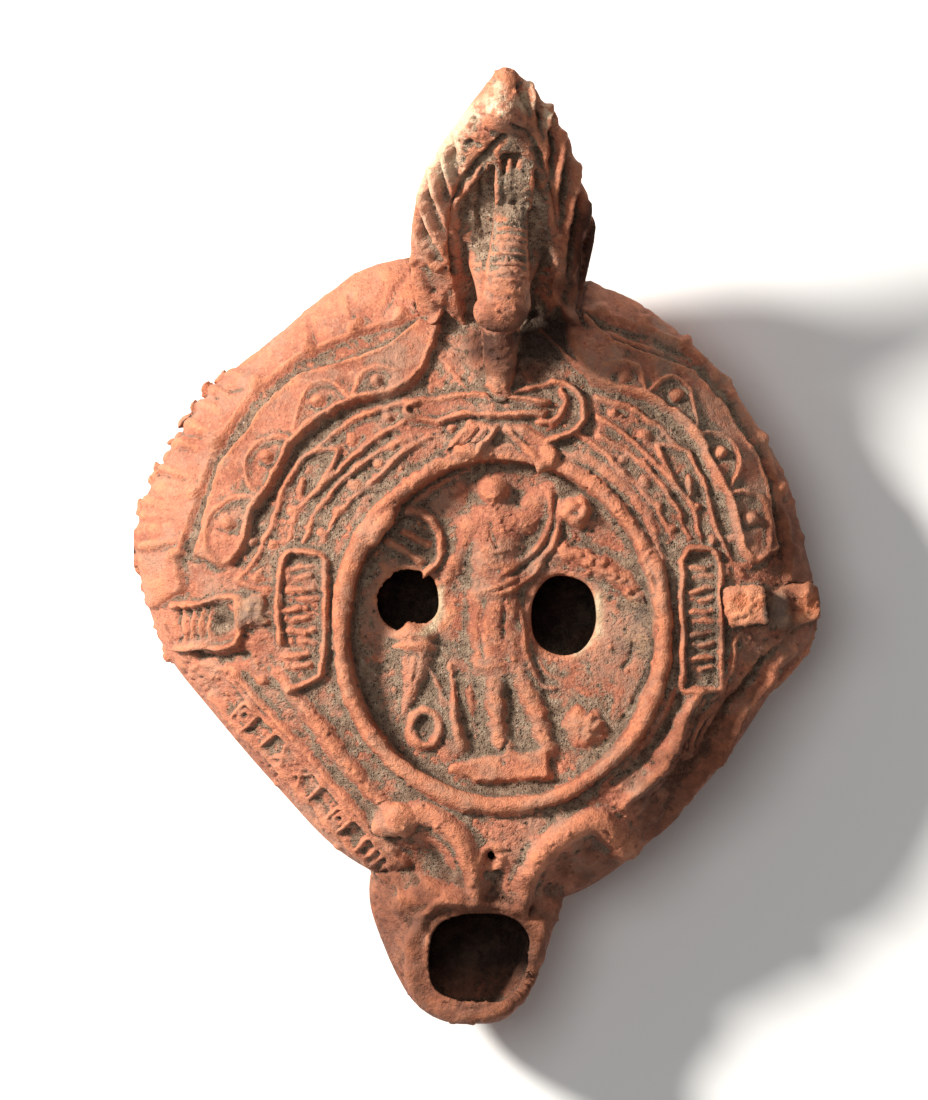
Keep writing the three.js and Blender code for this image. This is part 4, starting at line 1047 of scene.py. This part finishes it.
groove([(492, 158), (484, 168), (480, 190), (478, 220), (482, 240)], 2.2, 0.9)
groove([(512, 128), (524, 134), (534, 146)], 2.6, 1.2)
for px, py, wide, deep in ((491, 84, 5, 1.5), (474, 124, 5, 1.2), (469, 146, 6, 1.3), (478, 148, 4, 0.9),
                           (487, 249, 4, 1.3), (484, 110, 3, 0.6)):
    lump(px, py, wide, 0.7 * wide, deep, 20, sheet=sunk)
for number, py in enumerate((227, 235, 243, 251, 260, 269, 278)):
    groove([(494 - number, py + 1), (510, py - 1), (528, py + 2)], [2.0, 2.4, 2.0], [0.5, 1.0, 0.9])
for px, py in ((436, 268), (420, 262), (440, 300)):
    lump(px, py, 7, 5, 0.8, 30)
print("leaf pressed")

# %% [markdown]
# Wear comes last on the sheet. Ridges are rubbed down unevenly, the clay undulates, and single grains
# of grit stand out of the hollows, where nobody's fingers polished them.

# %% Wear, and pressing the sheet in
def noise(seed, reach):
    grain = blurred(np.random.default_rng(seed).standard_normal((ROWS, COLUMNS)), reach)
    return grain / grain.std()


def cells_at(px, py):
    """Row and column of the cell at each place."""
    return np.clip(py.round().astype(int), 0, ROWS - 1), np.clip(px.round().astype(int), 0, COLUMNS - 1)


worn = np.clip(1 + 0.13 * noise(1, 9) + 0.07 * noise(2, 3), 0.55, 1.25)
relief = blurred(plates, 1.5) + blurred(mounds, 2.2) + blurred(proud, 1.0) * worn - blurred(sunk, 0.9)
dug = np.clip(1 - np.maximum(proud, plates) / 1.2, 0, 1)
grit = np.maximum(noise(3, 1.0) - 0.9, 0) * 0.3 + np.minimum(noise(4, 1.2) + 1.1, 0) * 0.3
WANDER = 0.45
wander_x, wander_y = WANDER * noise(8, 4), WANDER * noise(9, 4)
cell_rows, cell_columns = np.meshgrid(np.arange(ROWS), np.arange(COLUMNS), indexing="ij")
relief = blurred(relief[cells_at(cell_columns + wander_x, cell_rows + wander_y)], 0.5)
relief += 0.18 * noise(5, 26) + 0.12 * noise(6, 7) + 0.05 * noise(7, 2.2) + grit * (0.25 + 0.75 * dug)


def read_sheet(sheet, points):
    """Value of a sheet under each point, blended between its cells."""
    px, py = step(points[:, 0], points[:, 1])
    px, py = np.clip(px, 0, COLUMNS - 1.001), np.clip(py, 0, ROWS - 1.001)
    c, r = px.astype(int), py.astype(int)
    u, v = px - c, py - r
    top = sheet[r, c] * (1 - u) + sheet[r, c + 1] * u
    low = sheet[r + 1, c] * (1 - u) + sheet[r + 1, c + 1] * u
    return top * (1 - v) + low * v


def highest(points):
    """The height of the topmost clay over each cell."""
    px, py = step(points[:, 0], points[:, 1])
    sheet = np.full((ROWS, COLUMNS), -1.0)
    np.maximum.at(sheet, cells_at(px, py), points[:, 2])
    for axis in (0, 1):
        sheet = np.maximum(sheet, np.maximum(np.roll(sheet, 1, axis), np.roll(sheet, -1, axis)))
    return sheet


def normals_of(obj):
    flat = np.empty(len(obj.data.vertices) * 3)
    obj.data.vertices.foreach_get("normal", flat)
    return flat.reshape(-1, 3)


points = get_points(lamp)
normals = normals_of(lamp)
on_top = np.clip((points[:, 2] - read_sheet(highest(points), points) + 3.4) / 1.4, 0, 1)
facing = np.clip(normals[:, 2] / 0.35, 0, 1)
push = read_sheet(relief, points) * on_top * facing
set_points(lamp, points + normals * push[:, None])
print("relief runs from", round(float(push.min()), 2), "to", round(float(push.max()), 2), "mm")

# %% [markdown]
# The fused skin has far more points than its quiet parts need. Decimation gives them back where the
# clay is smooth, below and inside, and keeps them where the relief turns.

# %% A lighter mesh in metres
TRIANGLES = 192000
alone(lamp)
bpy.ops.object.mode_set(mode="EDIT")
bpy.ops.mesh.select_all(action="SELECT")
bpy.ops.mesh.quads_convert_to_tris()
bpy.ops.object.mode_set(mode="OBJECT")
apply("DECIMATE", ratio=min(1.0, TRIANGLES / len(lamp.data.polygons)))
points = get_points(lamp)
low, high = np.array(cad_low) / MM, np.array(cad_high) / MM
points = np.clip(points, low + 0.02, high - 0.02)
set_points(lamp, points * MM)
bpy.ops.object.shade_smooth()
lamp.data.materials.clear()
print("lamp:", len(lamp.data.polygons), "triangles")

# %% [markdown]
# Where dirt lies, where hands rubbed and where painted shade and painted highlight go is read from
# the finished shape. The mesh is relaxed in thought: where the relaxed skin lies above the clay there
# is a hollow, where it lies below there is a ridge. Both are kept as attributes, with the patches of
# fresh break, pale slip and crust, and patches of painted shade and painted light.

# %% Masks on the clay
points = points.copy()
normals = normals_of(lamp)
edges = np.empty(len(lamp.data.edges) * 2, int)
lamp.data.edges.foreach_get("vertices", edges)
edges = edges.reshape(-1, 2)
count = len(points)
degree = np.bincount(edges.ravel(), minlength=count)[:, None]


def relaxed(values, rounds):
    for _ in range(rounds):
        total = np.zeros_like(values)
        for a, b in ((0, 1), (1, 0)):
            for k in range(values.shape[1]):
                total[:, k] += np.bincount(edges[:, a], values[edges[:, b], k], count)
        values = 0.3 * values + 0.7 * total / degree
    return values


near_skin = relaxed(points, 4)
far_skin = relaxed(near_skin, 26)
fine = ((near_skin - points) * normals).sum(1)
broad = ((far_skin - points) * normals).sum(1)


def patch(seed, spots, soft=6):
    """Soft patch over spots of the drawing, with a wandering edge."""
    sheet = np.zeros((ROWS, COLUMNS))
    for px, py, wide, long, turn in spots:
        lump(px, py, wide, long, 1.0, turn, sheet=sheet, power=0.4)
    return np.clip(blurred(sheet, soft) * 1.5 + 0.25 * noise(seed, 5) *
                   (blurred(sheet, soft * 2) > 0.05) - 0.15, 0, 1)


def keep(name, values):
    layer = lamp.data.attributes.new(name, "FLOAT", "POINT")
    layer.data.foreach_set("value", np.clip(values, 0, 1).astype(np.float32))


up = np.clip(normals[:, 2], 0, 1)
visible = np.clip((points[:, 2] - read_sheet(highest(points), points) + 4.0) / 2.0, 0, 1)
caked = patch(27, [(505, 205, 46, 78, 0), (221, 621, 12, 16, 0), (540, 340, 30, 40, 0)], 5)
caked -= patch(28, [(511, 262, 17, 38, 0)], 3)
settled_share = 0.5 + 1.5 * fine + 0.62 * broad + 0.6 * np.clip(read_sheet(caked, points), -1, 1)
keep("hollow", relaxed(settled_share[:, None], 1)[:, 0])
# Painted shade: darkens creases and the narrow hollows beside ridges.
keep("crease_shade", relaxed((3.2 * fine + 0.5 * broad - 0.22)[:, None], 1)[:, 0])
# Lighter ridges: partly rubbed wear, partly a painted highlight.
keep("ridge", relaxed((-1.5 * fine - 0.62 * broad)[:, None], 1)[:, 0])
# Name, noise seed, softness, where it shows, and the spots: place, half width, half length, turn
# Fresh breaks on the stumps and the wick collar, and painted light on the filling holes' right and lower
# walls.
STAINS = [("fresh_break_and_light", 21, 3, visible * up,
           [(745, 605, 22, 19, 0), (580, 640, 17, 6, -40), (808, 606, 13, 18, 0), (447, 612, 5, 20, 10),
            (446, 905, 9, 4, 10)]),
          # Pale slip on the crown and the right scallops, and painted light on the leaf's left slope.
          ("pale_slip_and_light", 22, 3, visible * np.sqrt(up),
           [(498, 102, 14, 22, 20), (458, 168, 8, 16, 20), (524, 98, 9, 18, 0), (548, 118, 7, 18, 0),
            (446, 150, 22, 40, 25), (470, 118, 10, 18, 20)]),
          ("crusted", 23, 4, visible,
           [(778, 611, 14, 20, 0), (252, 612, 20, 18, 0), (640, 630, 16, 40, 10)]),
          ("dusty", 24, 14, visible * up,
           [(300, 400, 4, 4, 0), (400, 620, 60, 120, 0), (590, 660, 60, 90, 0), (500, 700, 90, 60, 0),
            (320, 520, 70, 40, -50), (700, 620, 50, 90, 0), (500, 230, 76, 120, 0), (500, 370, 60, 40, 0),
            (360, 690, 30, 70, -30), (497, 900, 12, 16, 0), (720, 440, 60, 100, -30)]),
          # Lighter band on the right and lower walls of the filling holes: painted light where those walls
          # face the key light.
          ("rim", 25, 1.6, visible,
           [(438, 606, 6, 22, 10), (428, 630, 12, 5, -35), (598, 616, 5, 26, 0), (584, 645, 16, 5, -40)]),
          # Darker clay: real smoke round the nozzle, and painted shade on the right side, under the muzzle
          # and down the handle.
          ("smoke_and_shade", 26, 10, 0.6 + 0.4 * visible,
           [(465, 960, 130, 90, 0), (720, 780, 70, 120, 40), (800, 560, 40, 110, 0), (490, 350, 26, 30, 0),
            (588, 250, 24, 70, 10), (585, 880, 40, 34, 0), (372, 930, 40, 70, 20), (524, 138, 12, 12, 0),
            (540, 372, 30, 16, 0)]),
          # Painted shadow beside the handle's neck, on its throat, down the leaf's right side and under the
          # stump.
          ("painted_shadow", 29, 7, visible,
           [(545, 335, 34, 34, 30), (492, 340, 18, 26, 0), (590, 250, 14, 60, 10), (722, 634, 40, 9, 0)]),
          # Painted light on the lit left slope of the handle's leaf.
          ("painted_leaf_light", 30, 5, visible,
           [(440, 166, 15, 46, 22), (456, 122, 12, 28, 25), (425, 215, 10, 40, 8)])]
for name, seed, soft, shows, spots in STAINS:
    keep(name, read_sheet(patch(seed, spots, soft), points) * shows)
angle, radius = np.arctan2(points[:, 1], points[:, 0]), np.hypot(points[:, 0], points[:, 1])
foot_edge = oval_radius(angle, FOOT)
under = bowl(np.clip((radius - foot_edge) / (body_radius(angle) - foot_edge), 0, 1))
towards = (normals * (np.array((0, 0, 20)) - points)).sum(1) > 0
within = (radius < body_radius(angle) - 3) & (points[:, 1] > JOINT_Y) & towards
within &= (points[:, 2] > under + 2.4) & (points[:, 2] < ground(points[:, 0], points[:, 1]) - 1.5)
sections = [np.interp(-points[:, 1], -nozzle_rows[:, 0], column) for column in nozzle_rows.T[[1, 3, 4]]]
core = np.stack([sections[0], points[:, 1], 0.5 * (sections[1] + sections[2])], axis=1)
in_nozzle = (points[:, 1] < -36) & (points[:, 2] < nozzle_height(points[:, 1]) - 2.0)
in_nozzle &= ((normals * (core - points)).sum(1) > 0) & (np.hypot(*(points - core)[:, ::2].T) < 17)
# The inside mask is painted shade: it darkens the chamber and the nozzle's hollow, less towards the nozzle's
# tip, whose wall faces the key light.
shade_eased_at_tip = np.clip((points[:, 1] + 78) / 9, 0.35, 1)
keep("inside", relaxed(np.where(within, 1.0, np.where(in_nozzle, shade_eased_at_tip, 0.0))[:, None], 2)[:, 0])
print("masks kept; hollow up to", round(float(broad.max()), 2), "mm")

# %% [markdown]
# Shared effects are node groups: a group is wired once, has named sockets, and is then placed in any
# material with its own values. Grime collects where a mask says so and thins out in grains.

# %% Node groups
def new_group(name, inputs, outputs):
    group = bpy.data.node_groups.new(name, "ShaderNodeTree")
    for label, kind, value in inputs:
        socket = group.interface.new_socket(label, in_out="INPUT", socket_type=kind)
        socket.default_value = value
    for label, kind in outputs:
        group.interface.new_socket(label, in_out="OUTPUT", socket_type=kind)
    return group, Wires(group)


class Wires:
    """Short hand for placing nodes and joining their sockets."""

    def __init__(self, tree):
        self.tree = tree
        self.entry = self.exit = None
        if isinstance(tree, bpy.types.ShaderNodeTree) and tree.interface.items_tree:
            self.entry = tree.nodes.new("NodeGroupInput")
            self.exit = tree.nodes.new("NodeGroupOutput")

    def feed(self, value, socket):
        if isinstance(value, bpy.types.NodeSocket):
            self.tree.links.new(value, socket)
        else:
            socket.default_value = value

    def math(self, operation, a, b=0.0, clamp=False):
        node = self.tree.nodes.new("ShaderNodeMath")
        node.operation = operation
        node.use_clamp = clamp
        self.feed(a, node.inputs[0])
        self.feed(b, node.inputs[1])
        return node.outputs[0]

    def times(self, a, b):
        return self.math("MULTIPLY", a, b)

    def plus(self, a, b):
        return self.math("ADD", a, b)

    def noise(self, where, scale, detail=4.0, rough=0.55):
        node = self.tree.nodes.new("ShaderNodeTexNoise")
        self.feed(where, node.inputs["Vector"])
        self.feed(scale, node.inputs["Scale"])
        self.feed(detail, node.inputs["Detail"])
        self.feed(rough, node.inputs["Roughness"])
        return node.outputs["Fac"]

    def band(self, value, start, end):
        node = self.tree.nodes.new("ShaderNodeMapRange")
        node.interpolation_type = "SMOOTHSTEP"
        self.feed(value, node.inputs["Value"])
        self.feed(start, node.inputs["From Min"])
        self.feed(end, node.inputs["From Max"])
        return node.outputs["Result"]

    def mix(self, share, a, b):
        node = self.tree.nodes.new("ShaderNodeMix")
        node.data_type = "RGBA"
        self.feed(share, node.inputs[0])
        self.feed(a, node.inputs[6])
        self.feed(b, node.inputs[7])
        return node.outputs[2]

    def attribute(self, name):
        node = self.tree.nodes.new("ShaderNodeAttribute")
        node.attribute_name = name
        return node.outputs["Fac"]

    def blotches(self, where, scale, detail, rough, start, end):
        return self.band(self.noise(where, scale, detail, rough), start, end)

    def group(self, group, **values):
        node = self.tree.nodes.new("ShaderNodeGroup")
        node.node_tree = group
        for key, value in values.items():
            self.feed(value, node.inputs[key.replace("_", " ")])
        return node.outputs


def rgb(red, green, blue):
    """Linear colour from the usual 0 to 255 values."""
    linear = [((v / 255 + 0.055) / 1.055) ** 2.4 if v > 10 else v / 3294.6 for v in (red, green, blue)]
    return (*linear, 1.0)


grains, wires = new_group("grains",
                          [("Place", "NodeSocketVector", (0, 0, 0)), ("Size", "NodeSocketFloat", 900.0),
                           ("Amount", "NodeSocketFloat", 0.5)], [("Mask", "NodeSocketFloat")])
grain_cells = wires.tree.nodes.new("ShaderNodeTexVoronoi")
wires.feed(wires.entry.outputs["Place"], grain_cells.inputs["Vector"])
wires.feed(wires.entry.outputs["Size"], grain_cells.inputs["Scale"])
choice = wires.tree.nodes.new("ShaderNodeSeparateColor")
wires.feed(grain_cells.outputs["Color"], choice.inputs[0])
dot = wires.band(grain_cells.outputs["Distance"], 0.42, 0.24)
chosen = wires.math("LESS_THAN", choice.outputs[0], wires.entry.outputs["Amount"])
wires.feed(wires.times(dot, chosen), wires.exit.inputs["Mask"])

settled, wires = new_group("settled_dirt",
                           [("Place", "NodeSocketVector", (0, 0, 0)), ("Hollow", "NodeSocketFloat", 0.5),
                            ("Dusty", "NodeSocketFloat", 0.0)], [("Mask", "NodeSocketFloat")])
patchy = wires.noise(wires.entry.outputs["Place"], 90.0, 5.0, 0.6)
grainy = wires.noise(wires.entry.outputs["Place"], 1300.0, 3.0, 0.7)
level_in = wires.plus(wires.entry.outputs["Hollow"], wires.times(wires.entry.outputs["Dusty"], 0.24))
level_in = wires.plus(level_in, wires.times(wires.math("SUBTRACT", patchy, 0.5), 0.55))
level_in = wires.plus(level_in, wires.times(wires.math("SUBTRACT", grainy, 0.5), 0.5))
wires.feed(wires.band(level_in, 0.66, 0.98), wires.exit.inputs["Mask"])
print("groups:", grains.name, settled.name)

# %% [markdown]
# Fired clay. Red where it is shaded by iron, pink-orange where it was rubbed and where a highlight is
# painted on ridges. Dirt is grey-beige with black and white grains. Painted shade darkens creases, the
# insides and the places where shadow falls; painted light brightens a few faces that meet the light.
# Nothing on it shines, so roughness stays high and only its grain varies.

# %% Terracotta
clay = bpy.data.materials.new("terracotta_worn")
clay.use_nodes = True
tree = clay.node_tree
shader = tree.nodes["Principled BSDF"]
wires = Wires(tree)
where = tree.nodes.new("ShaderNodeTexCoord").outputs["Object"]
tone = wires.blotches(where, 38.0, 4.0, 0.6, 0.34, 0.68)
mottle = wires.blotches(where, 260.0, 5.0, 0.65, 0.35, 0.7)
speckle = wires.blotches(where, 1500.0, 3.0, 0.75, 0.50, 0.72)
glow = wires.blotches(where, 950.0, 4.0, 0.7, 0.50, 0.66)
straw = wires.blotches(where, 420.0, 6.0, 0.7, 0.40, 0.56)
dirt_tone = wires.blotches(where, 520.0, 5.0, 0.7, 0.3, 0.7)
film_edge = wires.plus(wires.noise(where, 110.0, 5.0, 0.65), wires.times(wires.attribute("dusty"), 0.10))
# Ridges lighten, partly from rubbed wear and partly as a painted highlight.
rub_and_highlight = wires.band(wires.plus(wires.attribute("ridge"), wires.times(mottle, 0.16)), 0.10, 0.55)
burnt = wires.group(grains, Place=where, Size=1300.0, Amount=0.06)["Mask"]
dirt = wires.group(settled, Place=where, Hollow=wires.attribute("hollow"),
                   Dusty=wires.attribute("dusty"))["Mask"]
pepper = wires.group(grains, Place=where, Size=2100.0, Amount=0.34)["Mask"]
salt = wires.group(grains, Place=where, Size=1900.0, Amount=0.05)["Mask"]
# Coats over the clay, in order: how much of it, its colour, and the light colour where it is mottled
COATS = [(wires.times(mottle, 0.5), (168, 98, 78), None),
         (wires.times(speckle, 0.7), (104, 62, 50), None),
         (wires.times(glow, 0.45), (218, 148, 112), None),
         (wires.times(wires.band(film_edge, 0.44, 0.66), 0.55), (160, 132, 112), None),
         # rubbed wear and painted highlight on ridges
         (wires.times(rub_and_highlight, wires.plus(0.16, wires.times(mottle, 0.46))), (216, 138, 98), None),
         (wires.times(burnt, 0.4), (90, 50, 42), None),
         (wires.times(dirt, 0.86), (124, 102, 84), (196, 172, 146)),
         (wires.times(wires.times(pepper, dirt), 0.8), (44, 32, 28), None),
         (wires.times(wires.times(salt, dirt), 0.8), (226, 214, 196), None),
         # painted shade in creases
         (wires.times(wires.attribute("crease_shade"), wires.plus(0.45, wires.times(mottle, 0.3))),
          (54, 34, 27), None),
         # real smoke on the nozzle, painted shade on the right side and under the handle
         (wires.times(wires.attribute("smoke_and_shade"), 0.8), (88, 50, 36), (134, 80, 56)),
         # painted shadow by the handle and under the stump
         (wires.times(wires.attribute("painted_shadow"), 0.8), (46, 28, 23), None),
         # painted light on the leaf's left slope
         (wires.times(wires.attribute("painted_leaf_light"), 0.6), (240, 196, 166), None),
         # fresh breaks, and painted light on the filling holes' lit walls
         (wires.attribute("fresh_break_and_light"), (206, 122, 84), (234, 164, 124)),
         # pale slip, and painted light on the leaf's left slope
         (wires.times(wires.attribute("pale_slip_and_light"), straw), (206, 176, 144), (234, 216, 186)),
         (wires.times(wires.attribute("crusted"), 0.8), (120, 104, 92), (176, 140, 110)),
         # painted light on the filling holes' lit walls
         (wires.attribute("rim"), (178, 150, 120), (214, 190, 158)),
         # painted shade inside the chamber and the nozzle
         (wires.times(wires.attribute("inside"), 0.92), (34, 24, 19), (74, 56, 44))]
DIRT_COAT = 6
colour = wires.mix(tone, rgb(146, 86, 64), rgb(196, 126, 98))
for number, (share, dark, light) in enumerate(COATS):
    spread = dirt_tone if number == DIRT_COAT else mottle
    colour = wires.mix(share, colour, wires.mix(spread, rgb(*dark), rgb(*light)) if light else rgb(*dark))
wires.feed(colour, shader.inputs["Base Color"])
wires.feed(wires.plus(0.78, wires.times(dirt, 0.16)), shader.inputs["Roughness"])
shader.inputs["Specular IOR Level"].default_value = 0.28
bump = tree.nodes.new("ShaderNodeBump")
bump.inputs["Distance"].default_value = 0.0012
bump.inputs["Strength"].default_value = 1.0
coarse = wires.times(wires.noise(where, 560.0, 4.0, 0.72), 0.6)
sandy = wires.times(wires.noise(where, 2000.0, 3.0, 0.7), wires.plus(0.3, wires.times(dirt, 0.7)))
pits = wires.times(pepper, wires.times(dirt, 0.6))
wires.feed(wires.math("SUBTRACT", wires.plus(coarse, sandy), pits), bump.inputs["Height"])
wires.feed(bump.outputs["Normal"], shader.inputs["Normal"])
lamp.data.materials.append(clay)
print("material:", clay.name, len(tree.nodes), "nodes")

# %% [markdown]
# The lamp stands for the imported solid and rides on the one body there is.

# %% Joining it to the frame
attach(lamp, "root")
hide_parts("lamp")
print("pieces:", lamp.name)

# %% [markdown]
# A pale floor, one soft key light from the upper left and a weak one from above. The camera
# looks straight down, from far away, so that tall and low parts keep their places.

# %% Floor, lights, camera
bpy.ops.object.select_all(action="DESELECT")
bpy.ops.mesh.primitive_plane_add(size=12, location=(0, 0, -0.0003))
floor = bpy.context.object
floor.name = "floor"
paper = bpy.data.materials.new("pale_floor")
paper.use_nodes = True
paper.node_tree.nodes["Principled BSDF"].inputs["Base Color"].default_value = (0.93, 0.93, 0.92, 1)
paper.node_tree.nodes["Principled BSDF"].inputs["Roughness"].default_value = 0.9
floor.data.materials.append(paper)

AIM = Vector((*place(VIEW_SIZE[0] / 2, VIEW_SIZE[1] / 2), 30)) * MM


def soft_light(name, side, size, power, colour):
    bpy.ops.object.light_add(type="AREA", location=AIM + Vector(side))
    light = bpy.context.object
    light.name = name
    light.data.shape = "DISK"
    light.data.size = size
    light.data.energy = power
    light.data.color = colour
    light.rotation_euler = (-Vector(side)).to_track_quat("-Z", "Y").to_euler()
    return light


soft_light("key_light", (-0.81, 0.43, 0.66), 0.20, 28.0, (1.0, 0.96, 0.90))
soft_light("top_light", (-0.3, 0.2, 1.5), 0.8, 5.5, (1.0, 1.0, 1.0))
world = bpy.context.scene.world or bpy.data.worlds.new("studio")
bpy.context.scene.world = world
world.use_nodes = True
world.node_tree.nodes["Background"].inputs["Color"].default_value = (1, 1, 1, 1)
world.node_tree.nodes["Background"].inputs["Strength"].default_value = 0.18

CAMERA_HEIGHT = 6.0
SENSOR = 36.0
bpy.ops.object.camera_add(location=AIM + Vector((0, 0, CAMERA_HEIGHT)), rotation=(0, 0, 0))
camera = bpy.context.object
camera.name = "view_from_above"
camera.data.sensor_fit = "AUTO"
camera.data.sensor_width = SENSOR
camera.data.lens = SENSOR * CAMERA_HEIGHT / (VIEW_SIZE[1] * PITCH * MM)
camera.data.clip_end = 50
bpy.context.scene.camera = camera
bpy.context.scene.view_settings.view_transform = "Standard"
print("lens", round(camera.data.lens), "mm at", CAMERA_HEIGHT, "m")
